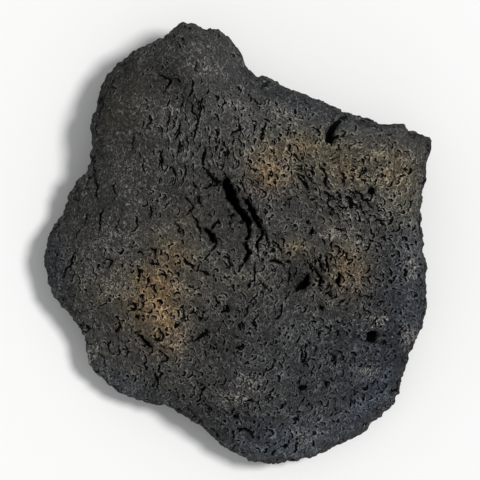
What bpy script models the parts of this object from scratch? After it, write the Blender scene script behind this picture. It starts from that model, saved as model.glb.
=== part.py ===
"""A lava rock: one solid lump of dark basalt crust, lying flat on its worn underside.

The body is a quad sphere whose points are carried onto a slab with a hand-drawn outline,
a domed top, steep flanks and an underside that touches the ground in worn patches.
The open fissure, the slot and the largest gas holes are then cut out of it.
Frame: +X and +Y span the slab, +Z is up, the origin is under the middle on the ground.
"""
import math

import bmesh
import bpy
import numpy as np

MM = 0.001                      # the sizes below are in millimetres

# Driving dimensions of the slab
TOP_HEIGHT = 39.0               # general level of the domed top
TOP_SLOPE = (0.035, 0.060)      # rise of the top per millimetre towards +X and +Y
HEART = (0.0, -2.0)             # the point from which the outline is seen as a fan
MEAN_RADIUS = 64.0              # rough radius, for spacing the points along a section

# What changes round the edge: its mean, how far it wanders, how often, where the waves begin
RIM_LEVEL = (14.0, 6.0, 1.7, 3.1)           # level at which the slab is widest
UNDERCUT = (0.10, 0.08, 2.6, 7.7)           # share of the radius the flank runs in below it
SHOULDER_POWER = (4.8, 2.6, 2.3, 5.2)       # higher is a flatter top, a steeper shoulder
SHOULDER_ROUNDING = (0.68, 0.34, 2.9, 9.4)  # 0.5 is round, 1 a straight slope to a sharp rim

# The rim stands higher on one side and the shoulder is squarer on another: by how much, and
# the direction in degrees
RIM_LEAN = (4.0, 100.0)
SQUARE_LEAN = (2.4, -15.0)

# The outline seen from above, clockwise from the left side of the knob
OUTLINE = [
    (-25.0, 70.2), (-21.3, 73.6), (-16.2, 75.0), (-11.4, 72.9), (-7.0, 72.6), (-2.6, 69.2),
    (0.9, 64.8), (3.2, 59.7), (6.0, 56.6), (11.1, 55.6), (21.3, 49.9), (33.8, 44.6),
    (42.0, 43.0), (49.1, 40.0), (54.9, 40.6), (59.7, 38.6), (65.5, 34.9), (64.8, 27.7),
    (62.4, 12.1), (63.1, 1.5), (63.9, -12.8), (63.4, -21.3), (59.3, -35.9), (56.3, -43.0),
    (55.3, -49.8), (52.2, -55.3), (43.7, -63.8), (38.9, -66.8), (25.3, -73.3), (9.7, -75.0),
    (-1.9, -70.2), (-13.1, -61.7), (-22.6, -55.9), (-30.8, -53.9), (-39.6, -51.0),
    (-49.9, -43.2), (-51.5, -36.2), (-53.6, -29.4), (-61.0, -20.2), (-65.1, -9.0),
    (-65.1, -0.5), (-62.4, 6.0), (-58.3, 10.0), (-56.3, 17.9), (-50.5, 24.7), (-49.1, 31.8),
    (-49.5, 37.9), (-48.1, 45.7), (-44.4, 55.6), (-36.2, 64.4), (-29.8, 67.8),
]

# Broad swellings and hollows of the top: x, y, half-length, half-width, turn in degrees, rise
RELIEF = {
    "knob": (-14.0, 62.0, 11.0, 10.0, 0, 4.0),
    "crease beside the knob": (-24.5, 55.0, 8.0, 4.5, -50, -4.5),
    "upper left shoulder": (-36.0, 47.0, 12.0, 11.0, 0, 3.0),
    "ridge under the knob": (-6.0, 38.0, 20.0, 9.0, -62, 3.0),
    "left pillow": (-48.0, 8.0, 11.0, 16.0, 10, 2.5),
    "dish": (-12.0, 10.0, 15.0, 12.0, -30, -5.0),
    "brow right of the fissure": (12.0, 25.0, 13.0, 9.0, -40, 4.0),
    "upper right block": (49.0, 30.0, 15.0, 12.0, -15, 6.5),
    "step below the slot": (31.0, 24.0, 9.0, 8.0, 0, -2.0),
    "ledge over the facet": (40.0, 40.0, 9.0, 2.5, -18, 2.0),
    "diagonal fold": (33.0, 14.0, 12.0, 5.0, -55, 1.8),
    "centre right hollow": (21.0, -12.5, 8.0, 6.5, 20, -5.5),
    "lump over the hollow": (21.0, -1.5, 8.0, 4.0, 0, 2.5),
    "rust cheek": (36.0, -5.0, 9.0, 9.0, 0, 2.0),
    "right valley": (50.0, -16.0, 12.0, 6.0, 70, -2.6),
    "right edge swelling": (58.0, -3.0, 5.0, 11.0, 0, 3.0),
    "rust pillow": (-27.0, -20.0, 12.0, 15.0, 0, 3.4),
    "olive pillow": (-47.0, -20.0, 11.0, 10.0, 0, 2.2),
    "lower left pocket": (-33.0, -34.0, 5.5, 4.0, -50, -3.2),
    "lower dome": (12.0, -34.0, 20.0, 15.0, 0, 3.2),
    "lower dent": (17.0, -57.0, 8.0, 4.0, 10, -2.4),
    "bottom toe": (14.0, -66.0, 12.0, 6.0, 0, 2.2),
    "lower right swelling": (44.0, -45.0, 12.0, 12.0, 0, 2.4),
    "lower left slope": (-50.0, -42.0, 20.0, 17.0, 45, -6.0),
}

# Broken faces of the flank: x and y of the place on the rim that the face starts from, the
# direction it looks in and its tilt, in degrees, and its reach along the flank. A face that
# is tilted upwards trims the shoulder above the rim, one tilted downwards the flank below.
BREAKS = {
    "smooth face at the upper right": (21.3, 49.9, 69, 30, 24),
    "right face": (63.4, 18.0, -6, 16, 17),
    "lower right face": (57.0, -42.0, -20, 32, 17),
    "bottom right face": (45.0, -62.0, -52, 40, 15),
    "bottom left face": (-12.0, -62.5, -124, 35, 17),
    "lower left face": (-40.0, -50.5, -112, 42, 13),
    "left face": (-61.0, -21.0, -150, 37, 14),
    "upper left face": (-54.5, 20.0, 152, 44, 13),
    "shoulder face": (-43.5, 57.0, 142, 32, 13),
    "undercut at the toe": (10.0, -75.0, -88, -38, 22),
    "undercut at the right": (63.5, -5.0, 0, -32, 20),
    "undercut at the left": (-65.0, -5.0, 180, -30, 20),
    "undercut at the knob": (-16.0, 75.0, 95, -42, 16),
    "undercut at the block": (55.0, 40.5, 60, -32, 18),
}
BREAK_FLATNESS = 0.85           # 1 is a dead flat face
BREAK_START = 4.0               # height over which a face sets in above or below the rim

RELIEF_FADE = 2                 # the swellings fade out below 1/2 of the crown's rise

# Worn patches on which the rock stands: x, y, reach
WORN_PATCHES = [
    (-44.0, -6.0, 19.0), (-27.0, 44.0, 17.0), (41.0, 22.0, 20.0), (40.0, -34.0, 20.0),
    (6.0, -54.0, 19.0), (-2.0, -4.0, 22.0), (-30.0, -33.0, 15.0),
]
UNDERSIDE_GAP = 1.9             # mean height of the underside above the ground between them
GAP_WANDER = 1.6
GAP_WAVE = 13.0
PATCH_PRESS = 1.6               # over 1 presses the patches flat onto the ground
HOLLOW_POWER = 3                # higher keeps the hollows away from the foot of the flank

# Gas holes: x, y, half-length, half-width, turn in degrees, depth
GAS_HOLES = {
    "mouth_of_fissure": (-2.9, 17.2, 3.1, 2.4, -65, 9.0),
    "hollow_hole": (21.8, -14.0, 2.9, 2.3, 50, 6.0),
    "cheek_hole": (33.8, -12.0, 2.1, 1.3, 75, 4.0),
    "upper_hollow_hole": (24.7, 3.6, 1.4, 1.1, 60, 3.0),
    "round_hole": (45.6, -32.0, 2.2, 1.7, 75, 5.0),
    "block_hole": (45.4, 17.9, 1.1, 1.0, 0, 3.0),
    "dish_hole": (-9.4, 2.2, 2.0, 1.1, 65, 4.0),
    "ring_pit": (-26.2, -31.6, 1.5, 1.5, 0, 1.6),
    "slot": (32.6, 37.4, 3.3, 1.4, 64, 4.5),
}

# The open fissure: its line seen from above and the half-width at each point
FISSURE = [
    (-2.9, 17.0, 2.0), (-0.9, 13.0, 1.9), (1.6, 9.6, 1.6), (3.8, 6.2, 1.4),
    (6.2, 3.0, 1.3), (6.9, -0.6, 1.0), (5.9, -4.0, 0.6),
]
FISSURE_SINK = 0.4              # how far the axis of the cut lies below the surface

# Irregular lumps all over: size of a lump, rise
LUMPS = [(34.0, 2.3), (16.0, 1.3), (8.0, 0.55)]
RIM_BAND = 0.25                 # the lumps are lower within this share of rise and fall
RIM_CALM = 0.85                 # how much of their height they lose on the rim itself
OUTWARD_TURN = 5                # higher keeps the lumps of the top pointing straight up

CUBE_CUTS = 27                  # 28 quads along each edge of the cube that is rounded
CROWN_SHARE = 0.85              # below 1 the points crowd towards the crown
SPLINE_STEPS = 16               # places read between two points of the outline
PROFILE_STEPS = 600
NOISE_SEED = 14
NOISE_GAIN = 1.6                # brings the noise to about -1 to 1


def make_noise(seed):
    """Gradient noise in space: a random slope at each lattice point, blended between them."""
    random = np.random.default_rng(seed)
    shuffle = random.permutation(256)
    slopes = random.normal(size=(256, 3))
    slopes /= np.linalg.norm(slopes, axis=1)[:, None]

    def noise(points):
        cell = np.floor(points).astype(int)
        part = points - cell
        ease = part ** 3 * (part * (part * 6 - 15) + 10)
        total = np.zeros(len(points))
        for corner in np.ndindex(2, 2, 2):
            corner = np.array(corner)
            ix, iy, iz = ((cell + corner) & 255).T
            slope = slopes[shuffle[(shuffle[(shuffle[ix] + iy) & 255] + iz) & 255]]
            weight = np.prod(np.where(corner, ease, 1 - ease), axis=1)
            total += weight * np.sum(slope * (part - corner), axis=1)
        return total * NOISE_GAIN

    return noise


def outline_fan():
    """Angle and distance from the heart along a smooth closed curve through OUTLINE."""
    points = np.array(OUTLINE) - HEART
    before, after = np.roll(points, 1, 0), np.roll(points, -1, 0)
    beyond = np.roll(points, -2, 0)
    share = np.linspace(0, 1, SPLINE_STEPS, endpoint=False)[:, None, None]
    curve = 0.5 * (2 * points + (after - before) * share
                   + (2 * before - 5 * points + 4 * after - beyond) * share ** 2
                   + (3 * points - before - 3 * after + beyond) * share ** 3)
    curve = curve.transpose(1, 0, 2).reshape(-1, 2)
    angle = np.arctan2(curve[:, 1], curve[:, 0])
    order = np.argsort(angle)
    return angle[order], np.hypot(curve[:, 0], curve[:, 1])[order]


def profile_table():
    """The section from the crown over the rim to the middle of the base, in even steps.

    Columns: share of the outline's radius, share of the way in along the undercut, and
    share of the way down from rim to ground.
    """
    steps = PROFILE_STEPS
    across = np.sin(np.linspace(0, math.pi / 2, steps))
    lift = (1 - across ** SHOULDER_POWER[0]) ** SHOULDER_ROUNDING[0]
    fall = np.linspace(0, math.pi / 2, steps)[1:]
    inward = np.linspace(0, 1, steps)[1:]
    flat, full = np.zeros(steps), np.ones(steps - 1)
    reach = np.concatenate([across, full, 1 - inward])
    rise = np.concatenate([lift, 0 * full, 0 * full])
    curl = np.concatenate([flat, 1 - np.cos(fall), full])
    drop = np.concatenate([flat, np.sin(fall), full])
    out = MEAN_RADIUS * reach * (1 - UNDERCUT[0] * curl)
    up = (TOP_HEIGHT - RIM_LEVEL[0]) * rise - RIM_LEVEL[0] * drop
    length = np.concatenate([[0], np.cumsum(np.hypot(np.diff(out), np.diff(up)))])
    return length / length[-1], np.stack([reach, curl, drop])


def relief(x, y):
    """Sum of the bell-shaped swellings and hollows, each stretched and turned."""
    total = np.zeros(len(x))
    for centre_x, centre_y, long, wide, turn, height in RELIEF.values():
        cos, sin = math.cos(math.radians(turn)), math.sin(math.radians(turn))
        along = ((x - centre_x) * cos + (y - centre_y) * sin) / long
        aside = ((y - centre_y) * cos - (x - centre_x) * sin) / wide
        total += height * np.exp(-along ** 2 - aside ** 2)
    return total


def worn(x, y):
    """1 on the worn patches of the underside, falling to 0 between them."""
    total = np.zeros(len(x))
    for centre_x, centre_y, reach in WORN_PATCHES:
        away = ((x - centre_x) ** 2 + (y - centre_y) ** 2) / reach ** 2
        total += np.exp(-away ** 2)
    return np.minimum(total, 1)


def trim_flank(points, rim):
    """Push what stands outside each broken face back towards the face."""
    for x, y, direction, tilt, spread in BREAKS.values():
        direction, tilt = math.radians(direction), math.radians(tilt)
        face = np.array([math.cos(direction) * math.cos(tilt),
                         math.sin(direction) * math.cos(tilt), math.sin(tilt)])
        away = (points[:, 0] - x) ** 2 + (points[:, 1] - y) ** 2
        near = np.exp(-(away / spread ** 2) ** 2)
        above = (points[:, 2] - rim) * math.copysign(1, tilt)
        start = np.stack([np.full(len(rim), x), np.full(len(rim), y), rim], axis=1)
        outside = np.maximum((points - start) @ face, 0)
        push = outside * near * BREAK_FLATNESS * np.clip(above / BREAK_START, 0, 1)
        points -= np.outer(push, face)


def wander(noise, ring, setting):
    """A value that wanders round the edge about its mean."""
    mean, swing, waves, start = setting
    return mean + swing * noise(ring * waves + start)


def lean(azimuth, setting):
    """An addition that is greatest in one direction and as far below nought opposite to it."""
    amount, direction = setting
    return amount * np.cos(azimuth - math.radians(direction))


def rock_surface(directions, noise):
    """Carry directions from the middle of a ball onto the surface of the rock."""
    azimuth = np.arctan2(directions[:, 1], directions[:, 0])
    from_crown = np.arccos(np.clip(directions[:, 2], -1, 1)) / math.pi
    place = CROWN_SHARE * from_crown + (1 - CROWN_SHARE) * from_crown ** 2
    length, section = profile_table()
    reach, curl, drop = [np.interp(place, length, column) for column in section]

    fan_angle, fan_radius = outline_fan()
    radius = np.interp(azimuth, fan_angle, fan_radius, period=2 * math.pi)
    ring = np.stack([np.cos(azimuth), np.sin(azimuth), np.zeros(len(azimuth))], axis=1)
    rim = wander(noise, ring, RIM_LEVEL) + lean(azimuth, RIM_LEAN)
    undercut = wander(noise, ring, UNDERCUT)
    power = wander(noise, ring, SHOULDER_POWER) + lean(azimuth, SQUARE_LEAN)
    rounding = wander(noise, ring, SHOULDER_ROUNDING)
    rise = np.where(drop > 0, 0, np.maximum(1 - reach ** power, 0) ** rounding)

    out = radius * reach * (1 - undercut * curl)
    x = HEART[0] + out * ring[:, 0]
    y = HEART[1] + out * ring[:, 1]
    top = TOP_HEIGHT + TOP_SLOPE[0] * x + TOP_SLOPE[1] * y
    crown = (top - rim) * rise + relief(x, y) * np.minimum(1, RELIEF_FADE * rise)
    z = crown + rim * (1 - drop)
    points = np.stack([x, y, z], axis=1)
    trim_flank(points, rim)

    outward = ring * reach[:, None] ** OUTWARD_TURN
    outward[:, 2] = rise - drop
    outward /= np.linalg.norm(outward, axis=1)[:, None]
    at_rim = np.exp(-(rise ** 2 + drop ** 2) / RIM_BAND ** 2)
    push = sum(height * noise(points / size + size) for size, height in LUMPS)
    points += outward * (push * (1 - RIM_CALM * at_rim))[:, None]

    hollow = UNDERSIDE_GAP + GAP_WANDER * noise(points / GAP_WAVE)
    hollow *= 1 - PATCH_PRESS * worn(x, y)
    points[:, 2] += hollow * drop ** HOLLOW_POWER
    points[:, 2] = np.maximum(points[:, 2], 0)
    return points


def make_stone_material():
    material = bpy.data.materials.new("dark_lava")
    material.use_nodes = True
    shader = material.node_tree.nodes["Principled BSDF"]
    shader.inputs["Base Color"].default_value = (0.055, 0.053, 0.049, 1)
    shader.inputs["Roughness"].default_value = 0.92
    shader.inputs["Metallic"].default_value = 0.0
    return material


def make_rock(noise):
    """The whole lump before the holes are cut."""
    mesh = bpy.data.meshes.new("lava_rock")
    shape = bmesh.new()
    bmesh.ops.create_cube(shape, size=2)
    bmesh.ops.subdivide_edges(shape, edges=shape.edges, cuts=CUBE_CUTS, use_grid_fill=True)
    cube = np.array([vert.co[:] for vert in shape.verts])
    even = np.tan(cube * math.pi / 4)
    even /= np.linalg.norm(even, axis=1)[:, None]
    for vert, point in zip(shape.verts, rock_surface(even, noise)):
        vert.co = point * MM
    bmesh.ops.triangulate(shape, faces=shape.faces, quad_method='SHORT_EDGE')
    bmesh.ops.recalc_face_normals(shape, faces=shape.faces)
    shape.to_mesh(mesh)
    shape.free()
    mesh.shade_smooth()
    rock = bpy.data.objects.new("lava_rock", mesh)
    bpy.context.collection.objects.link(rock)
    mesh.materials.append(make_stone_material())
    return rock


def surface_height(rock, x, y):
    """Height of the rock's top at a place, all in millimetres."""
    found, point, _, _ = rock.ray_cast((x * MM, y * MM, 1), (0, 0, -1))
    return point.z / MM if found else RIM_LEVEL[0]


def add_cutter(rock, name, mesh):
    cutter = bpy.data.objects.new(name, mesh)
    bpy.context.collection.objects.link(cutter)
    cutter.hide_render = True
    cutter.display_type = 'WIRE'
    cut = rock.modifiers.new(name, 'BOOLEAN')
    cut.operation = 'DIFFERENCE'
    cut.solver = 'EXACT'
    cut.object = cutter
    return cutter


def cut_gas_hole(rock, name, hole):
    """An egg-shaped hollow that opens upwards, with its widest level at the surface."""
    x, y, long, wide, turn, depth = hole
    mesh = bpy.data.meshes.new(name)
    shape = bmesh.new()
    bmesh.ops.create_icosphere(shape, subdivisions=2, radius=1)
    bmesh.ops.scale(shape, vec=(long * MM, wide * MM, depth * MM), verts=shape.verts)
    shape.to_mesh(mesh)
    shape.free()
    cutter = add_cutter(rock, name, mesh)
    cutter.rotation_euler.z = math.radians(turn)
    cutter.location = (x * MM, y * MM, surface_height(rock, x, y) * MM)


def cut_fissure(rock):
    """A bent tube laid in the surface, thin at its lower end, that leaves an open trench."""
    curve = bpy.data.curves.new("fissure_line", 'CURVE')
    curve.dimensions = '3D'
    curve.bevel_depth = MM
    curve.bevel_resolution = 2
    curve.use_fill_caps = True
    line = curve.splines.new('POLY')
    line.points.add(len(FISSURE) - 1)
    for point, (x, y, half_width) in zip(line.points, FISSURE):
        level = surface_height(rock, x, y) - FISSURE_SINK
        point.co = (x * MM, y * MM, level * MM, 1)
        point.radius = half_width
    guide = bpy.data.objects.new("fissure_guide", curve)
    bpy.context.collection.objects.link(guide)
    mesh = bpy.data.meshes.new_from_object(guide)
    mesh.name = "fissure"
    bpy.data.objects.remove(guide)
    add_cutter(rock, "fissure", mesh)


def main():
    for thing in list(bpy.data.objects):
        bpy.data.objects.remove(thing)
    rock = make_rock(make_noise(NOISE_SEED))
    corners = np.array([corner[:] for corner in rock.bound_box])
    middle = (corners.min(axis=0) + corners.max(axis=0)) / 2
    for vert in rock.data.vertices:
        vert.co.x -= middle[0]
        vert.co.y -= middle[1]
    bpy.context.view_layer.update()
    for name, hole in GAS_HOLES.items():
        cut_gas_hole(rock, name, hole)
    cut_fissure(rock)


main()
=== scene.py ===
import math

import bpy
import numpy as np
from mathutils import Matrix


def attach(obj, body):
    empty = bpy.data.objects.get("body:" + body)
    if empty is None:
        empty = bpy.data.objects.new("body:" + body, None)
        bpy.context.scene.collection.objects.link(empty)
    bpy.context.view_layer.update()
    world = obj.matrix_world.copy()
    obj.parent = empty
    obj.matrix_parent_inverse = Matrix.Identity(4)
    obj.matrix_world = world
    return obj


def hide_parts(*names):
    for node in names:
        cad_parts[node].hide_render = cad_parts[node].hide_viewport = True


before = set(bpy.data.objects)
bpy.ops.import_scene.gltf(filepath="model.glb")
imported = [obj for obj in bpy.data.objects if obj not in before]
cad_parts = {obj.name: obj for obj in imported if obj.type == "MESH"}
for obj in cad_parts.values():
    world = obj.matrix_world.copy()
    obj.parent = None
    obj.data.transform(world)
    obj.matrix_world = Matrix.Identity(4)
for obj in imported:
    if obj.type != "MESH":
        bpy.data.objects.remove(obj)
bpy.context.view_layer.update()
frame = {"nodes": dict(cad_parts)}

print("frame loaded:", ", ".join(frame["nodes"]))

mm = 0.001  # shapes are worked out in millimetres and put into the meshes in metres
noiseGain = 1.6  # brings the noise to about -1 to 1
latticeSize = 256  # the lattice of the noise and of the scattered marks repeats after so many
scatterSpan = (0.1, 0.9)  # how far over its cell a scattered mark may lie
farOff = 9.0  # a distance beyond the reach of every mark


def latticeKey(shuffle, *indices):
    # a number for each lattice cell that shows no order: each index is added to the shuffled
    # one before it, and the sum is shuffled again
    key = 0
    for index in indices:
        key = shuffle[(key + index) & (latticeSize - 1)]
    return key


def makeNoise(seed):
    # gradient noise: a random slope at each lattice point, blended with an S curve between them
    random = np.random.default_rng(seed)
    shuffle = random.permutation(latticeSize)
    slopes = random.normal(size=(latticeSize, 3))
    slopes /= np.linalg.norm(slopes, axis=1)[:, None]

    def noise(points):
        cell = np.floor(points).astype(int)
        part = points - cell
        ease = part ** 3 * (part * (part * 6 - 15) + 10)
        total = np.zeros(len(points))
        for corner in np.ndindex(2, 2, 2):
            corner = np.array(corner)
            slope = slopes[latticeKey(shuffle, *(cell + corner).T)]
            weight = np.prod(np.where(corner, ease, 1 - ease), axis=1)
            total += weight * np.sum(slope * (part - corner), axis=1)
        return total * noiseGain

    return noise


def makeCells(seed):
    # one seed point scattered in each unit cell: for every place, the distance and the vector
    # from its nearest seed point, and that point's own random numbers
    random = np.random.default_rng(seed)
    shuffle = random.permutation(latticeSize)
    scatter = random.uniform(*scatterSpan, size=(latticeSize, 3))
    luck = random.uniform(size=(latticeSize, 4))

    def cells(points):
        cell = np.floor(points).astype(int)
        best = np.full(len(points), farOff)
        away = np.zeros((len(points), 3))
        owner = np.zeros(len(points), int)
        for step in np.ndindex(3, 3, 3):
            near = cell + np.array(step) - 1
            index = latticeKey(shuffle, *near.T)
            gap = points - near - scatter[index]
            length = np.sqrt(np.sum(gap ** 2, axis=1))
            closer = length < best
            best[closer] = length[closer]
            away[closer] = gap[closer]
            owner[closer] = index[closer]
        return best, away, luck[owner]

    return cells


def smoothStep(value, low, high):
    # 0 below low, 1 above high, and 3 t^2 - 2 t^3 between them
    share = np.clip((value - low) / (high - low), 0, 1)
    return share * share * (3 - 2 * share)


def fineNoises(points, *shifts):
    # a vector of fine noises, one for each shift
    return np.stack([fineNoise(points + shift) for shift in shifts], axis=1)


def turned(x, y, centreX, centreY, turn):
    # distances from a centre along a direction turned by so many degrees, and across it
    cos, sin = math.cos(math.radians(turn)), math.sin(math.radians(turn))
    along = (x - centreX) * cos + (y - centreY) * sin
    return along, (y - centreY) * cos - (x - centreX) * sin


def spanGap(x, y, start, end):
    # how far along a straight span the nearest point lies, 0 to 1, and the gap from that point
    spanX, spanY = end[0] - start[0], end[1] - start[1]
    share = ((x - start[0]) * spanX + (y - start[1]) * spanY) / (spanX ** 2 + spanY ** 2)
    share = np.clip(share, 0, 1)
    return share, x - start[0] - share * spanX, y - start[1] - share * spanY


noise = makeNoise(14)  # the same seed as the solid's, so that the lumps fall in the same places
fineNoise = makeNoise(31)
cells = makeCells(52)


# the solid's shape on a finer grid; what wanders round the edge has its mean, its swing, the
# number of waves and their start, and what leans has its amount and direction
slab = {
    "topHeight": 39.0, "topSlope": (0.035, 0.060), "heart": (0.0, -2.0), "meanRadius": 64.0,
    "rimLevel": (14.0, 6.0, 1.7, 3.1), "rimLean": (4.0, 100.0),
    "undercut": (0.10, 0.08, 2.6, 7.7),
    "shoulderPower": (4.8, 2.6, 2.3, 5.2), "squareLean": (2.4, -15.0),
    "shoulderRounding": (0.68, 0.34, 2.9, 9.4),
    "breakFlatness": 0.85, "breakStart": 4.0, "reliefFade": 2,
    "undersideGap": 1.9, "gapWander": 1.6, "gapWave": 13.0, "patchPress": 1.6,
    "hollowPower": 3, "lumps": [(34.0, 2.3), (16.0, 1.3), (8.0, 0.55)],
    "rimBand": 0.25, "rimCalm": 0.85, "outwardTurn": 5, "profileSteps": 600, "spanSteps": 16,
}

# the edge seen from above
outline = [
    (-25, 70.2), (-21.3, 73.6), (-16.2, 75), (-11.4, 72.9), (-7, 72.6), (-2.6, 69.2),
    (0.9, 64.8), (3.2, 59.7), (6, 56.6), (11.1, 55.6), (21.3, 49.9), (33.8, 44.6),
    (42, 43), (49.1, 40), (54.9, 40.6), (59.7, 38.6), (65.5, 34.9), (64.8, 27.7),
    (62.4, 12.1), (63.1, 1.5), (63.9, -12.8), (63.4, -21.3), (59.3, -35.9), (56.3, -43),
    (55.3, -49.8), (52.2, -55.3), (43.7, -63.8), (38.9, -66.8), (25.3, -73.3), (9.7, -75),
    (-1.9, -70.2), (-13.1, -61.7), (-22.6, -55.9), (-30.8, -53.9), (-39.6, -51),
    (-49.9, -43.2), (-51.5, -36.2), (-53.6, -29.4), (-61, -20.2), (-65.1, -9),
    (-65.1, -0.5), (-62.4, 6), (-58.3, 10), (-56.3, 17.9), (-50.5, 24.7), (-49.1, 31.8),
    (-49.5, 37.9), (-48.1, 45.7), (-44.4, 55.6), (-36.2, 64.4), (-29.8, 67.8),
]

# rises and hollows of the top: x, y, half-length, half-width, turn, height
relief = {
    "knob": (-14, 62, 11, 10, 0, 4),
    "crease beside the knob": (-24.5, 55, 8, 4.5, -50, -4.5),
    "upper left shoulder": (-36, 47, 12, 11, 0, 3),
    "ridge under the knob": (-6, 38, 20, 9, -62, 3),
    "left pillow": (-48, 8, 11, 16, 10, 2.5),
    "dish": (-12, 10, 15, 12, -30, -5),
    "brow right of the fissure": (12, 25, 13, 9, -40, 4),
    "upper right block": (49, 30, 15, 12, -15, 6.5),
    "step below the slot": (31, 24, 9, 8, 0, -2),
    "ledge over the facet": (40, 40, 9, 2.5, -18, 2),
    "diagonal fold": (33, 14, 12, 5, -55, 1.8),
    "centre right hollow": (21, -12.5, 8, 6.5, 20, -5.5),
    "lump over the hollow": (21, -1.5, 8, 4, 0, 2.5),
    "rust cheek": (36, -5, 9, 9, 0, 2),
    "right valley": (50, -16, 12, 6, 70, -2.6),
    "right edge swelling": (58, -3, 5, 11, 0, 3),
    "rust pillow": (-27, -20, 12, 15, 0, 3.4),
    "olive pillow": (-47, -20, 11, 10, 0, 2.2),
    "lower left pocket": (-33, -34, 5.5, 4, -50, -3.2),
    "lower dome": (12, -34, 20, 15, 0, 3.2),
    "lower dent": (17, -57, 8, 4, 10, -2.4),
    "bottom toe": (14, -66, 12, 6, 0, 2.2),
    "lower right swelling": (44, -45, 12, 12, 0, 2.4),
    "lower left slope": (-50, -42, 20, 17, 45, -6),
}

# broken faces: x and y on the rim, the way it looks, its tilt, and how far it spreads
breaks = {
    "smooth face at the upper right": (21.3, 49.9, 69, 30, 24),
    "right face": (63.4, 18, -6, 16, 17),
    "lower right face": (57, -42, -20, 32, 17),
    "bottom right face": (45, -62, -52, 40, 15),
    "bottom left face": (-12, -62.5, -124, 35, 17),
    "lower left face": (-40, -50.5, -112, 42, 13),
    "left face": (-61, -21, -150, 37, 14),
    "upper left face": (-54.5, 20, 152, 44, 13),
    "shoulder face": (-43.5, 57, 142, 32, 13),
    "undercut at the toe": (10, -75, -88, -38, 22),
    "undercut at the right": (63.5, -5, 0, -32, 20),
    "undercut at the left": (-65, -5, 180, -30, 20),
    "undercut at the knob": (-16, 75, 95, -42, 16),
    "undercut at the block": (55, 40.5, 60, -32, 18),
}

# where the underside touches the ground: x, y, reach
wornPatches = [
    (-44, -6, 19), (-27, 44, 17), (41, 22, 20), (40, -34, 20),
    (6, -54, 19), (-2, -4, 22), (-30, -33, 15),
]

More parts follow.
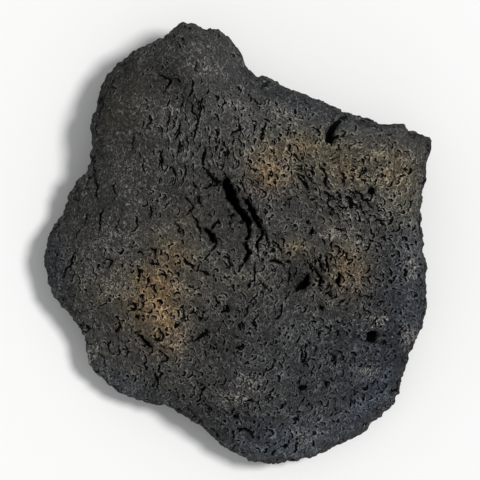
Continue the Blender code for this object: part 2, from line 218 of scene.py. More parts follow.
# drawn cracks, in groups: half-width and the points of the line
cracks = {
    "upperLeft": [
        (0.36, [(-15.7, 48.1), (-15, 43.9), (-13, 41.3), (-14.1, 37.6), (-15.8, 37.2)]),
        (0.37, [(-18.9, 41), (-19.6, 37.2), (-21.2, 34.5)]),
        (0.41, [(-25, 31.1), (-26.4, 29.8), (-25.3, 28.1), (-25.7, 25.7), (-24.7, 24)]),
        (0.41, [(-22.3, 26.4), (-21.2, 23.6), (-20.6, 21.6)]),
        (0.34, [(-18.9, 34.2), (-19.6, 32.1), (-20.2, 30.1), (-20.6, 28.4)]),
        (0.34, [(-17.9, 26.7), (-17.2, 24.7), (-17.5, 21.6)]),
        (0.44, [(-10.7, 32.5), (-11.1, 29.8), (-11.7, 28.1), (-11.4, 26.4)]),
        (0.41, [(0.2, 40.3), (1.2, 38.6), (0.5, 37.6), (-1.5, 36.9), (-1.9, 35.9)]),
        (0.34, [(-5.3, 34.9), (-4.2, 32.8), (-2.9, 31.1), (-2.9, 28.7)]),
        (0.41, [(-4.9, 30.8), (-3.9, 29.8), (-3.9, 28.4)]),
        (0.44, [(8.3, 38.6), (8.7, 36.9), (8, 35.5), (7.7, 34.2)]),
        (0.31, [(-27.7, 58), (-25.3, 56.6), (-22.6, 54.6), (-24, 52.2), (-24.3, 49.8)]),
        (0.2, [(-12.4, 49.4), (-11.2, 45.6), (-10.9, 43.7)]),
        (0.2, [(-14.3, 50.1), (-13.1, 46.9), (-12.9, 44.3), (-11.7, 42.4)]),
        (0.18, [(-17.2, 49.4), (-16.8, 47.3), (-17.4, 45.1), (-17, 43.4)]),
        (0.2, [(-18.6, 50.3), (-18.2, 48), (-19.1, 45.4), (-19.2, 43)]),
        (0.25, [(-17.2, 36), (-16.8, 33.9), (-16.3, 32.2)]),
        (0.25, [(-10.3, 36.9), (-9.4, 35.4), (-9.9, 33.9)]),
        (0.27, [(-22.3, 44.7), (-23, 42), (-23.6, 39.3)]),
        (0.27, [(-29.4, 42.7), (-30.1, 39.6), (-31.1, 37.6)]),
        (0.27, [(-34.5, 36.9), (-35.5, 33.8), (-35.2, 31.8)]),
        (0.27, [(-31.5, 28.4), (-32.1, 25.7), (-31.1, 23.3)]),
        (0.27, [(-13.1, 61.7), (-14.1, 59), (-13.1, 57)]),
    ],
    "leftFlank": [
        (0.31, [(-48.8, 25.3), (-48.5, 22.3), (-47.8, 19.9), (-48.1, 16.2), (-47.4, 14.5)]),
        (0.31, [(-45.7, 11.4), (-46.8, 8), (-46.4, 5.6), (-46.8, 3.2)]),
        (0.31, [(-54.9, -1.9), (-55.6, -4.2), (-56.6, -7.3), (-58.7, -9.4), (-59.3, -12.1)]),
        (0.37, [(-55.6, 18.9), (-55.6, 15.8), (-57.3, 12.8), (-58.3, 11.4)]),
        (0.34, [(-46.1, -4.9), (-44.7, -5.3), (-42.3, -6), (-43.4, -9)]),
        (0.27, [(-41.3, 20.9), (-42, 18.2), (-41, 15.8)]),
        (0.27, [(-50.8, 10.4), (-51.5, 7.3), (-52.5, 5.3)]),
        (0.27, [(-40, 8), (-41, 5.3), (-40.3, 3.2)]),
        (0.27, [(-29.8, 13.1), (-28.7, 10.4), (-29.8, 7.7)]),
    ],
    "fissure": [
        (0.3, [(9.6, 4.6), (9.8, 1.2), (10.6, -0.7), (10.3, -1.7)]),
        (0.34, [(5.7, -5.6), (5.9, -10), (5.7, -12.4), (5.7, -14.8)]),
        (0.3, [(7.2, -12.4), (9.6, -14.8), (11.3, -17.3)]),
        (0.54, [(-11.7, 25.7), (-10, 24.3), (-9.4, 22.6), (-7.7, 21.2), (-5.3, 20.6)]),
        (0.34, [(-12.1, 18.2), (-10.4, 18.5), (-8.7, 19.2), (-6, 19.6)]),
        (0.34, [(-2.9, 19.6), (-3.9, 22.3), (-4.9, 24.3)]),
        (0.34, [(0.9, 21.6), (1.9, 18.9), (2.6, 16.5)]),
    ],
    "dish": [
        (0.41, [(-14.1, 15.8), (-12.8, 15.5), (-13.1, 14.1), (-11.7, 12.1)]),
        (0.31, [(-17.5, 15.1), (-15.8, 13.4), (-14.8, 12.1), (-16.8, 9.7)]),
        (0.41, [(-15.8, 9.7), (-14.1, 8.3), (-13.4, 6), (-12.4, 4.2), (-12.8, 2.6)]),
        (0.54, [(-9, 4.6), (-7.3, 6.6), (-5.6, 6.6)]),
        (0.37, [(-7.7, 2.2), (-7, 0.9), (-7.7, -1.2), (-9, -2.6), (-10, -3.2)]),
        (0.31, [(-14.8, 21.6), (-14.5, 19.2), (-12.8, 17.9)]),
        (0.41, [(-3.9, -3.2), (-2.6, -5.3), (-2.6, -8), (-3.9, -9)]),
        (0.41, [(-18.9, -4.2), (-17.2, -6), (-15.5, -7.7), (-14.1, -9.4)]),
        (0.37, [(-12.8, -9), (-11.1, -10), (-9, -11.1)]),
        (0.27, [(-20.9, 7.3), (-19.6, 5.3), (-20.2, 3.2)]),
    ],
    "diagonal": [
        (0.5, [(27.1, 26.7), (28.2, 25.4), (29.2, 23.9), (30.1, 22.3), (29.2, 20.5), (30.3, 18.9),
            (31.3, 17.4)]),
        (0.36, [(20.1, 23.1), (21.6, 20.8), (22.8, 19.7), (24.1, 17.4)]),
        (0.32, [(22.4, 23.9), (23.5, 22.3), (24.7, 20.8), (25.6, 19.7)]),
        (0.3, [(20.1, 19.7), (21.1, 17.8)]),
        (0.4, [(28.8, 17.1), (30.7, 16.3), (30.9, 14.8), (30.3, 12.9), (31.3, 11.4)]),
        (0.32, [(31.3, 16.5), (32.6, 15.2), (33.9, 14.2)]),
        (0.32, [(33, 17.4), (34.3, 16.3), (35, 14.8)]),
        (0.32, [(34.1, 24.6), (35.4, 23.5), (36, 21.6), (35.8, 19.7)]),
        (0.34, [(38.2, 23.1), (39, 21.6), (38.8, 20.3)]),
        (0.55, [(36.4, 15.5), (37.9, 14.8), (38.4, 12.9), (37.9, 11.4)]),
        (0.3, [(37.9, 17.4), (39.4, 16.3), (40.1, 14.8)]),
        (0.42, [(38.8, 19.7), (40.1, 17.8), (42, 15.5), (43.9, 13.3), (45.8, 11)]),
        (0.34, [(39, 13.3), (40.5, 11.8), (40.5, 10.6)]),
        (0.37, [(42.4, 25.4), (43.4, 24.2), (42.4, 23.1)]),
        (0.34, [(18.6, 30.7), (19.7, 28.8), (21.2, 27.3)]),
        (0.3, [(26.5, 12.9), (26.7, 11.4)]),
        (0.3, [(40.5, 14.8), (41.5, 12.5), (42, 10.3)]),
        (0.41, [(46.4, 7.7), (49.5, 7.3)]),
        (0.34, [(12.4, 34.2), (13.1, 32.5)]),
        (0.34, [(17.5, 32.8), (18.2, 29.8), (17.9, 28.1)]),
    ],
    "ledge": [
        (0.34, [(35.2, 41.3), (37.6, 42), (40.6, 41.3), (43.7, 39.6), (47.1, 39.3)]),
    ],
    "hollow": [
        (0.37, [(9.7, 4.6), (9.7, 2.2), (10.4, 0.2), (10.4, -1.9)]),
        (0.34, [(11.4, 1.2), (13.4, -0.2), (14.8, -1.9), (15.1, -4.2)]),
        (0.41, [(14.1, 1.5), (15.8, 0.5), (15.5, -0.9)]),
        (0.58, [(9, -3.6), (10.4, -3.6)]),
        (0.51, [(7.7, -6.3), (9, -5.3)]),
        (0.44, [(10.7, -6), (13.1, -6), (15.1, -7), (16.5, -7.7)]),
        (0.37, [(17.5, -8), (17.5, -11.7), (17.2, -14.1)]),
        (0.34, [(31.5, -14.5), (31.5, -17.5), (31.8, -18.9)]),
        (0.37, [(28.1, 1.9), (29.4, 0.5), (29.8, -1.2)]),
        (0.37, [(31.5, 0.9), (31.5, -1.5)]),
        (0.41, [(33.8, -1.9), (34.5, -3.2), (33.5, -4.2)]),
        (0.34, [(35.5, -2.2), (37.2, -3.9), (36.6, -5.3), (38.9, -6.3)]),
    ],
    "lowerRight": [
        (0.41, [(44.7, -16.8), (45.4, -18.2), (44.4, -19.6)]),
        (0.37, [(21.6, -35.2), (21.9, -37.6), (21.2, -39.6)]),
        (0.37, [(29.4, -46.1), (30.1, -47.8), (29.4, -49.1)]),
        (0.37, [(31.5, -36.9), (32.8, -38.6), (32.1, -40)]),
    ],
    "rustPillow": [
        (0.41, [(-34.2, -7.7), (-32.8, -10), (-33.5, -12.1)]),
        (0.37, [(-30.1, -11.4), (-29.8, -13.1), (-30.8, -14.8)]),
        (0.51, [(-27.7, -13.4), (-28.1, -15.1), (-27.7, -16.8)]),
        (0.37, [(-29.1, -8.3), (-28.4, -7), (-26, -7.3)]),
        (0.37, [(-26.7, -11.1), (-25.3, -10.4), (-24, -11.1), (-23.6, -12.4)]),
        (0.34, [(-29.8, -1.5), (-27.7, -2.9), (-27.7, -5.3)]),
        (0.41, [(-33.5, -2.6), (-31.8, -4.2)]),
        (0.41, [(-37.2, -20.9), (-34.5, -20.6), (-34.2, -22.3), (-36.6, -23.3)]),
        (0.41, [(-33.2, -21.9), (-32.5, -23)]),
        (0.44, [(-33.8, -24), (-33.5, -26)]),
        (0.37, [(-40, -26.4), (-39.6, -28.4), (-41.7, -30.8)]),
        (0.41, [(-18.2, -23), (-17.9, -25), (-19.2, -25.7)]),
        (0.37, [(-18.9, -27), (-20.9, -28.7)]),
        (0.54, [(-27, -36.9), (-25.3, -37.2)]),
        (0.37, [(-25.3, -37.2), (-23.6, -38.9), (-24.7, -40.3), (-26, -40.3)]),
        (0.37, [(-26.7, -41), (-26, -44), (-25.3, -44.7)]),
        (0.37, [(-30.8, -39.6), (-31.5, -42), (-30.8, -43.7)]),
        (0.37, [(-28.4, -44.7), (-27, -46.8), (-27.4, -49.5)]),
        (0.34, [(-47.8, -37.6), (-45.4, -38.9), (-45.1, -41.7)]),
        (0.31, [(-38.2, -34.5), (-36.9, -36.9), (-37.9, -38.9)]),
        (0.31, [(-43, -32.8), (-44, -35.2), (-43, -37.2)]),
        (0.4, [(-26.7, -30.2), (-25.4, -30.3), (-24.7, -31.6), (-25.2, -32.8), (-26.4, -33.2),
            (-27.5, -32.5), (-27.7, -31.5)]),
    ],
    "lower": [
        (0.44, [(-10.7, -29.1), (-10.4, -30.4), (-12.4, -31.5), (-14.1, -32.8), (-16.5, -33.5)]),
        (0.44, [(-7.7, -18.9), (-6, -19.9), (-7.7, -21.6)]),
        (0.44, [(-3.9, -20.9), (-3.2, -22.6), (-5.6, -24)]),
        (0.37, [(-13.8, -25), (-12.1, -25.3), (-12.8, -26.7)]),
        (0.37, [(3.6, -20.9), (3.2, -24.3)]),
        (0.37, [(1.9, -26.4), (0.5, -27.7), (0.2, -29.8)]),
        (0.37, [(5.6, -26), (6.3, -28.7)]),
        (0.41, [(1.2, -33.8), (1.9, -34.9), (-1.2, -35.9)]),
        (0.37, [(-10.7, -48.8), (-12.1, -50.2), (-12.8, -52.2)]),
        (0.44, [(-0.5, -63.4), (2.6, -63.1), (4.9, -64.4), (5.3, -66.5)]),
        (0.37, [(2.6, -53.9), (4.9, -53.2), (7, -54.2), (7.7, -56.3)]),
    ],
}

# gas holes: x, y, half-length, half-width, turn, depth
holes = {
    "cheekPit": (36.8, -15.7, 0.8, 0.6, 60, 2),
    "roundHole": (45.6, -31.9, 2.6, 2.1, 70, 6),
    "blockHole": (45.3, 17.6, 1.5, 1.3, 20, 3.5),
    "blockPit": (57, 24.9, 0.8, 0.7, 0, 2.5),
    "lowerHole": (28.4, -21.9, 1.2, 0.8, -55, 3),
    "upperPit": (23.6, 7, 0.8, 0.7, 0, 2.5),
    "upperPitB": (25, 3.6, 1.2, 0.7, 70, 3),
    "ringPit": (-26.3, -31.5, 1.6, 1.6, 0, 1.3),
    "twinPit": (21.6, -49.1, 1.3, 1, 0, 2.2),
    "twinPitB": (23, -48.8, 0.8, 0.8, 0, 2),
    "pitA": (15.9, 13, 0.7, 0.7, 0, 2),
    "pitB": (17.3, 14.6, 0.6, 0.5, 0, 1.8),
    "pitC": (11.5, 22.6, 0.6, 0.5, 0, 1.6),
    "pitD": (12.6, 20.2, 0.6, 0.6, 0, 1.6),
    "pitE": (40.4, 30.6, 0.5, 0.5, 0, 1.4),
    "pitF": (47.4, 22.6, 0.6, 0.5, 0, 1.5),
    "pitG": (-1.6, 9.2, 0.7, 0.6, 30, 2.4),
    "pitH": (-2.6, 6.6, 0.7, 0.6, 0, 2),
    "pitI": (-13.4, -22.1, 0.5, 0.4, 0, 1.5),
    "pitJ": (-11.4, -23.4, 0.7, 0.5, 0, 1.7),
    "pitK": (-11.4, -21.7, 0.4, 0.4, 0, 1.2),
    "pitL": (2.9, -40.6, 0.6, 0.5, 0, 1.5),
    "pitM": (3.9, -14.3, 0.9, 0.7, 30, 2),
    "pitN": (24.3, -33.8, 0.6, 0.6, 0, 1.7),
    "pitO": (-0.5, -59, 1, 0.9, 0, 1.6),
    "pitP": (16.3, -69.4, 1, 1.2, 70, 1.8),
    "pitQ": (12.1, -71.7, 0.7, 0.8, 0, 1.5),
    "pitR": (-21.2, -17.2, 0.5, 0.5, 0, 1.2),
    "pitS": (-25.3, -27.9, 0.5, 0.4, 0, 1.2),
    "pitT": (19.9, -59.7, 1.1, 0.7, 10, 1.8),
    "pitU": (54.9, -26.7, 0.6, 0.4, 0, 1.4),
    "pitV": (35.2, -42, 0.6, 0.5, 0, 1.4),
    "pitW": (40.3, -19.2, 0.5, 0.5, 0, 1.2),
    "pitX": (10.4, -40.3, 0.5, 0.5, 0, 1.2),
}

# open clefts: depth, and the line's x, y and half-width from end to end
clefts = {
    "fissure": (8, [
        (-3.8, 20.2, 1.4), (-3.3, 18.9, 1.8), (-2.6, 16.8, 1.9), (-1.8, 14.8, 1.7),
        (-0.7, 13, 1.3), (0.8, 10.9, 1.05), (2.4, 8.8, 1.05), (4, 6.8, 0.9),
        (4, 5.3, 0.5), (4.1, 3.1, 0.5), (3.2, 1, 0.4), (3.2, -1.2, 0.5),
        (3.7, -3.2, 0.8), (2.9, -5.6, 0.75), (2.4, -6.6, 0.3)]),
    "strand": (5, [
        (1.9, 15.3, 0.3), (2.9, 14.3, 0.6), (3.9, 12.9, 0.8), (5.2, 10.5, 0.8),
        (5.8, 8.7, 0.9), (7, 6.6, 0.75), (8.3, 4.8, 0.55), (8.6, 3.4, 0.6), (7.8, 1.5, 0.6),
        (6.8, -0.2, 0.5), (6.6, -1.5, 0.4), (7.1, -2.9, 0.3)]),
    "gash": (2, [
        (-34, -30.3, 0.2), (-32.1, -32.5, 0.45), (-30.4, -34.2, 0.6), (-29.1, -35.7, 0.2)]),
    "recess": (5, [
        (20.2, -15.8, 0.8), (21.6, -14.6, 1.3), (23, -13.4, 1.2), (23.6, -11.9, 0.8),
        (23.8, -10.7, 0.3)]),
    "cheek": (4, [
        (34.5, -10.3, 0.4), (34.3, -12.1, 0.8), (33.7, -13.1, 1.1), (34, -14.5, 0.4)]),
    "cheek arc": (1.5, [(36.8, -10.2, 0.2), (38.1, -11.2, 0.4), (38.6, -13.2, 0.2)]),
    "dish": (4, [
        (-10.9, 4.8, 0.4), (-9.7, 3.7, 1), (-8.7, 2.4, 1.1), (-8.2, 0.2, 0.4)]),
    "slot": (5, [
        (34.9, 41.5, 0.5), (33.7, 40.6, 0.9), (32.6, 38.9, 1.4),
        (32, 36.9, 1.7), (31.6, 35.2, 1.6), (31.6, 33.8, 0.7)]),
    "cheek strokes": (2, [(24.2, -6.6, 0.2), (25.1, -9.5, 0.5), (25.6, -11, 0.2)]),
    "cheek strokes 2": (2.4, [(27.1, -5.1, 0.3), (28.1, -8, 0.6), (28.6, -9.6, 0.3)]),
    "cheek strokes 3": (2.4, [(29.5, -4.1, 0.3), (30.2, -6.6, 0.6), (30.7, -10, 0.3)]),
    "cheek strokes 4": (2.4, [
        (25.6, -8, 0.2), (27.3, -10.5, 0.5), (28.1, -12.2, 0.6), (27.1, -14.6, 0.3)]),
}


def outlineFan():
    # a smooth closed curve through the outline's points (each span a cubic that leaves its ends
    # parallel to the neighbours' chord), as distance from the heart against direction
    points = np.array(outline) - slab["heart"]
    before, after = np.roll(points, 1, 0), np.roll(points, -1, 0)
    beyond = np.roll(points, -2, 0)
    share = np.linspace(0, 1, slab["spanSteps"], endpoint=False)[:, None, None]
    curve = 0.5 * (2 * points + (after - before) * share
                   + (2 * before - 5 * points + 4 * after - beyond) * share ** 2
                   + (3 * points - before - 3 * after + beyond) * share ** 3)
    curve = curve.transpose(1, 0, 2).reshape(-1, 2)
    angle = np.arctan2(curve[:, 1], curve[:, 0])
    order = np.argsort(angle)
    return angle[order], np.hypot(curve[:, 0], curve[:, 1])[order]


def profileTable():
    # the section from crown to rim, down the flank and in along the base, in even steps of its
    # length: share of the radius, share of the way in along the undercut, share of the fall
    steps = slab["profileSteps"]
    across = np.sin(np.linspace(0, math.pi / 2, steps))
    lift = (1 - across ** slab["shoulderPower"][0]) ** slab["shoulderRounding"][0]
    fall = np.linspace(0, math.pi / 2, steps)[1:]
    inward = np.linspace(0, 1, steps)[1:]
    flat, full = np.zeros(steps), np.ones(steps - 1)
    reach = np.concatenate([across, full, 1 - inward])
    rise = np.concatenate([lift, 0 * full, 0 * full])
    curl = np.concatenate([flat, 1 - np.cos(fall), full])
    drop = np.concatenate([flat, np.sin(fall), full])
    out = slab["meanRadius"] * reach * (1 - slab["undercut"][0] * curl)
    up = (slab["topHeight"] - slab["rimLevel"][0]) * rise - slab["rimLevel"][0] * drop
    length = np.concatenate([[0], np.cumsum(np.hypot(np.diff(out), np.diff(up)))])
    length /= length[-1]
    rimPlace, footPlace = length[steps - 1], length[2 * steps - 2]
    return length, np.stack([reach, curl, drop]), rimPlace, footPlace


def bells(x, y, items):
    # sum of bell-shaped rises, each stretched along one direction: height * exp(-a^2 - b^2)
    total = np.zeros(len(x))
    for centreX, centreY, long, wide, turn, height in items:
        along, aside = turned(x, y, centreX, centreY, turn)
        total += height * np.exp(-(along / long) ** 2 - (aside / wide) ** 2)
    return total


def wornShare(x, y):
    # 1 on the patches that touch the ground, falling to 0 between them: sum of exp(-r^4)
    total = np.zeros(len(x))
    for centreX, centreY, reach in wornPatches:
        total += np.exp(-(((x - centreX) ** 2 + (y - centreY) ** 2) / reach ** 2) ** 2)
    return np.minimum(total, 1)


def trimFlank(points, rim):
    # each broken face is a tilted plane through the rim: what stands outside it is pushed
    # back along the plane's normal, less and less away from the face's middle
    for x, y, direction, tilt, spread in breaks.values():
        direction, tilt = math.radians(direction), math.radians(tilt)
        face = np.array([math.cos(direction) * math.cos(tilt),
                         math.sin(direction) * math.cos(tilt), math.sin(tilt)])
        away = (points[:, 0] - x) ** 2 + (points[:, 1] - y) ** 2
        near = np.exp(-(away / spread ** 2) ** 2)
        above = (points[:, 2] - rim) * math.copysign(1, tilt)
        start = np.stack([np.full(len(rim), x), np.full(len(rim), y), rim], axis=1)
        outside = np.maximum((points - start) @ face, 0)
        push = outside * near * slab["breakFlatness"]
        points -= np.outer(push * np.clip(above / slab["breakStart"], 0, 1), face)


def wander(ring, setting):
    # mean + swing * noise round the edge
    mean, swing, waves, start = setting
    return mean + swing * noise(ring * waves + start)


def lean(azimuth, setting):
    # amount * cos(angle from the direction)
    amount, direction = setting
    return amount * np.cos(azimuth - math.radians(direction))


def slabSurface(azimuth, place):
    # place runs from 0 at the crown over the rim to 1 in the middle of the base; the radius
    # is the outline's times the profile's, the height is rim + rise * crown, or rim * (1 - fall)
    length, section, rimPlace, footPlace = profileTable()
    reach, curl, drop = [np.interp(place, length, column) for column in section]
    fanAngle, fanRadius = outlineFan()
    radius = np.interp(azimuth, fanAngle, fanRadius, period=2 * math.pi)
    ring = np.stack([np.cos(azimuth), np.sin(azimuth), np.zeros(len(azimuth))], axis=1)
    rim = wander(ring, slab["rimLevel"]) + lean(azimuth, slab["rimLean"])
    undercut = wander(ring, slab["undercut"])
    power = wander(ring, slab["shoulderPower"]) + lean(azimuth, slab["squareLean"])
    rounding = wander(ring, slab["shoulderRounding"])
    rise = np.where(drop > 0, 0, np.maximum(1 - reach ** power, 0) ** rounding)

    out = radius * reach * (1 - undercut * curl)
    x = slab["heart"][0] + out * ring[:, 0]
    y = slab["heart"][1] + out * ring[:, 1]
    top = slab["topHeight"] + slab["topSlope"][0] * x + slab["topSlope"][1] * y
    crown = (top - rim) * rise
    crown += bells(x, y, relief.values()) * np.minimum(1, slab["reliefFade"] * rise)
    points = np.stack([x, y, crown + rim * (1 - drop)], axis=1)
    trimFlank(points, rim)

    outward = ring * reach[:, None] ** slab["outwardTurn"]
    outward[:, 2] = rise - drop
    outward /= np.linalg.norm(outward, axis=1)[:, None]
    atRim = np.exp(-(rise ** 2 + drop ** 2) / slab["rimBand"] ** 2)
    push = sum(height * noise(points / size + size) for size, height in slab["lumps"])
    points += outward * (push * (1 - slab["rimCalm"] * atRim))[:, None]
    hollow = slab["undersideGap"] + slab["gapWander"] * noise(points / slab["gapWave"])
    hollow *= 1 - slab["patchPress"] * wornShare(x, y)
    points[:, 2] += hollow * drop ** slab["hollowPower"]
    return points, outward, rise, drop, atRim


# cracks, holes, craters and strokes are depths measured inwards; grain, pillows and the ragged
# flanks are sizes with heights, craters and pits are size, chance, radius and depth
crust = {
    "topBand": (0.05, 0.4), "baseBand": (0.9, 1.0), "calmed": 0.8,
    "grain": [(5.0, 0.50), (2.4, 0.50), (1.3, 0.30)], "grainCalmed": 0.4,
    "pillows": [(2.3, 0.9), (1.4, 0.5)], "pillowsCalmed": 0.6,
    "pillowWarp": 0.35, "pillowLevel": 0.2,
    "craters": [(5.4, 0.30, 0.34, 0.45), (3.3, 0.35, 0.30, 0.36)],
    "pits": [(2.6, 0.35, 0.22, 0.5)], "pitsAdded": 0.3,
    "bowlSize": (0.55, 0.75), "bowlTilt": (0.45, 0.55), "bowlFloor": (0.1, 1.2),
    "bowlEdge": (-1.08, -0.78), "bowlSide": (0.95, 0.3, 0.0),
    "lipHeight": 0.25, "lipPlace": 1.12, "lipWidth": 0.2,
    "seamPitch": 2.9, "seamDepth": 0.75, "seamWidth": 0.20, "seamStep": 0.35,
    "seamWarp": 0.55, "seamBreaks": (-0.06, 0.10),
    "crackDepth": 1.5, "crackReach": 2.0, "crackWarp": 0.5,
    "crackLip": 0.15, "crackLipGap": 0.3, "crackLipWidth": 0.6, "crackBand": (-2.8, -1.7),
    "holeWobble": 0.1, "holeEdge": (-1.05, -0.75), "cleftWobble": 0.35, "cleftReach": 1.1,
    "marksInHoles": 0.3, "rimCalmed": 0.5, "baseCalmed": 0.7, "cavityDepth": 1.6,
    "ragged": [(7.0, 0.7), (3.0, 0.75), (1.5, 0.5)], "raggedRise": 0.3,
}

# bent strokes, like the steep right-hand walls of small burst blisters: one to each square of
# a grid, with the share of squares that have one where the crust is neither calm nor pitted
strokes = {
    "long": {"pitch": 2.7, "halfLength": 1.5, "radius": 1.6, "halfWidth": 0.31,
             "deep": 0.65, "chance": 0.50, "pitted": -0.25, "seed": 7},
    "short": {"pitch": 1.7, "halfLength": 0.75, "radius": 0.70, "halfWidth": 0.28,
              "deep": 0.40, "chance": 0.60, "pitted": 0.30, "seed": 8},
}

# what all strokes share: lengths in millimetres, angles in degrees, and how the upright and
# slanted areas line them up, stretch and thin them
strokeStyle = {
    "warp": 0.45, "fade": 0.8, "lip": 0.35, "wall": 0.3, "nearBand": (-0.9, -0.5),
    "uprightBulge": 10, "slantedBulge": 25, "scatter": 130, "linedUp": 0.8, "stretch": 0.3,
    "slantedThin": 0.15, "uprightThin": 0.2, "calmed": 0.6, "platesCalmed": 0.6,
}

# the character of the crust: x, y, half-length, half-width, turn, strength
areas = {
    "calm": [
        (-11, 62, 15, 14, 0, 1), (-56, 4, 9, 22, 0, 0.8),
        (24, 49.5, 24, 5.5, -22, 1), (-38, 44, 15, 18, 0, 0.95),
        (-42, 18, 14, 18, 20, 0.8), (45, 37, 16, 4, -15, 0.3),
        (12, 9, 8, 6, 0, 0.35),
    ],
    "plates": [(-12, 6, 15, 14, 0, 0.9), (-38, -30, 16, 14, -30, 0.5),
               (26, 2, 6, 8, 0, 0.4)],
    "upright": [
        (-16, 34, 13, 18, 0, 1.2), (2, 28, 10, 14, 0, 0.5),
        (8, 0, 8, 14, 0, 0.6), (-56, 0, 9, 24, 0, 0.8),
    ],
    "slanted": [(32, 16, 17, 9, -35, 1.4), (28, -7, 8, 7, 0, 0.9)],
    "pitted": [(48, 28, 20, 14, 0, 1), (40, -40, 24, 24, 0, 0.9),
               (10, 28, 8, 8, 0, 0.5), (0, -58, 26, 14, 0, 0.4)],
    # stains: orange rust, and the wider khaki film round it
    "rust": [
        (-28, -18.5, 8, 9, 0, 1.2), (-24, -31, 6, 7, 0, 0.5),
        (-22, -5, 6, 6, 0, 0.45), (10.5, 24.5, 6, 6.5, 0, 0.75),
        (21, 32.5, 7, 3.5, 0, 0.4), (37, 25.5, 7, 6, 0, 0.35),
        (53, 25, 6, 7, 0, 0.35), (36.5, -9, 6, 8, 0, 0.6),
        (19, -2, 4, 3, 0, 0.3),
    ],
    "khaki": [
        (44, 27, 24, 10, -14, 1), (16, 29, 15, 9, 0, 0.95),
        (56, 14, 7, 8, 0, 0.8), (34, -8, 9, 11, 0, 0.8),
        (19, -1.5, 9, 4, 0, 0.7), (-43, -17, 13, 11, 0, 0.75),
        (-25, -20, 14, 20, 0, 0.75), (-18, 3, 11, 12, 0, 0.65),
        (-39, 46, 10, 14, 0, 0.55), (2, -12, 11, 5, 0, 0.4),
        (30, 12, 12, 8, 0, 0.35),
    ],
    # painted bounce light: a bluer grey on the edges, where light thrown up from the ground falls
    "bounceTint": [
        (52, -50, 18, 10, 55, 1), (18, -68, 26, 8, 5, 0.9),
        (-40, -52, 26, 6, -25, 0.8), (28, 47, 26, 5, -24, 0.7),
        (60, -22, 9, 26, 0, 0.8), (-63, -14, 5, 18, 0, 0.7),
        (42, -40, 24, 20, 0, 0.35), (10, -44, 20, 14, 0, 0.1),
    ],
    # darker stretches; in the hollow right of the middle the darkening is painted shade
    "darkToneAndShade": [
        (20.5, -11.5, 4.5, 5, 0, 0.5), (52, -8, 8, 14, 0, 0.25),
        (44, -36, 18, 16, 0, 0.32), (55, -36, 6, 12, 0, 0.3),
        (-8, -32, 18, 18, 0, 0.12), (-26, 54, 10, 6, -45, 0.2),
        (-38, 46, 12, 14, 0, 0.28), (30, 12, 8, 6, 0, 0.1),
        (-18.5, 15, 7, 7, 0, 0.28), (44, -24, 8, 8, 0, 0.12),
        (60, -18, 4, 8, 0, 0.15), (8, -60, 10, 5, 0, 0.14),
        (54, 21, 4, 8, 0, 0.12), (-53, -1, 8, 10, 0, 0.12),
    ],
    # paler stretches; along the bottom and right edges the lightening is painted bounce light
    "paleToneAndBounce": [
        (60, 2, 3.5, 8, 0, 0.2), (54, 15, 6, 5, 0, 0.1),
        (4, 46, 6, 4, -30, 0.3), (-1, -46, 7, 4, 0, 0.1),
        (6, -72, 30, 4, 5, 0.35), (38, 38, 10, 5, -22, 0.3),
        (-18, 62, 9, 9, 0, 0.08), (-14, 36, 12, 18, 0, 0.35),
        (-46, -34, 9, 9, 0, 0.1), (-44, -44, 14, 8, -30, 0.35),
        (-14, -44, 8, 6, 0, 0.35), (-30, -32, 8, 6, 0, 0.15),
        (34, 14, 12, 9, -35, 0.15), (-50, -32, 12, 9, 0, 0.25),
        (4, 40, 12, 5, -20, 0.2), (-46, 34, 8, 14, 0, 0.12),
    ],
    # small clusters of pale flecks
    "flecks": [
        (4, -47, 3.5, 2.5, 0, 1), (-1, -52.5, 4, 2, 0, 0.9),
        (58.5, -8, 3, 5, 0, 0.5), (47.5, -26.5, 3, 2, 0, 0.9),
        (58, -32, 2.5, 4, 0, 0.8), (15, 44, 5, 2, -20, 0.8),
        (-22.5, 44.5, 1.6, 1.4, 0, 1), (-1, 46, 3, 2, 0, 0.7),
        (44.5, -43.5, 3, 2, 0, 0.4), (30, 3, 3, 2, 0, 0.7),
        (40, 0, 3, 4, 0, 0.5), (-62, 32, 1.5, 4, 0, 0.9),
        (-50, -38, 2, 3, 0, 0.8), (22, -66, 4, 3, 0, 0.6),
        (-41, 3, 5, 5, 0, 0.3), (-14, 60, 10, 6, 0, 0.15),
        (-36, 24, 8, 8, 0, 0.12), (-52, 0, 8, 12, 0, 0.1),
        (-28, 44, 8, 6, 0, 0.12), (-42, -14, 8, 6, 0, 0.2),
        (54, 52, 3, 2, 0, 0.8), (7, -2, 3, 4, 0, 0.5),
    ],
}


def areaShare(x, y, name):
    # how far a place belongs to an area, 0 to 1
    return np.clip(bells(x, y, areas[name]), 0, 1)


def crackFields(x, y):
    # distance to the nearest line in half-widths, positive on its left and negative on its
    # right, with the line's width tapered to nothing at its two ends by a square-rooted arch
    nearest = np.full(len(x), farOff)
    side = np.ones(len(x))
    width = np.zeros(len(x))
    for halfWidth, points in [line for lines in cracks.values() for line in lines]:
        points = np.array(points)
        spans = np.hypot(*np.diff(points, axis=0).T)
        run = np.concatenate([[0], np.cumsum(spans)]) / spans.sum()
        for start, end, runStart, runEnd in zip(points, points[1:], run, run[1:]):
            share, gapX, gapY = spanGap(x, y, start, end)
            along = runStart + share * (runEnd - runStart)
            wide = halfWidth * np.sqrt(np.clip(4 * along * (1 - along), 0.02, 1))
            ratio = np.hypot(gapX, gapY) / wide
            onLeft = (end[0] - start[0]) * gapY > (end[1] - start[1]) * gapX
            closer = ratio < nearest
            nearest[closer] = ratio[closer]
            side[closer] = np.where(onLeft, 1, -1)[closer]
            width[closer] = wide[closer]
    return nearest, side, width


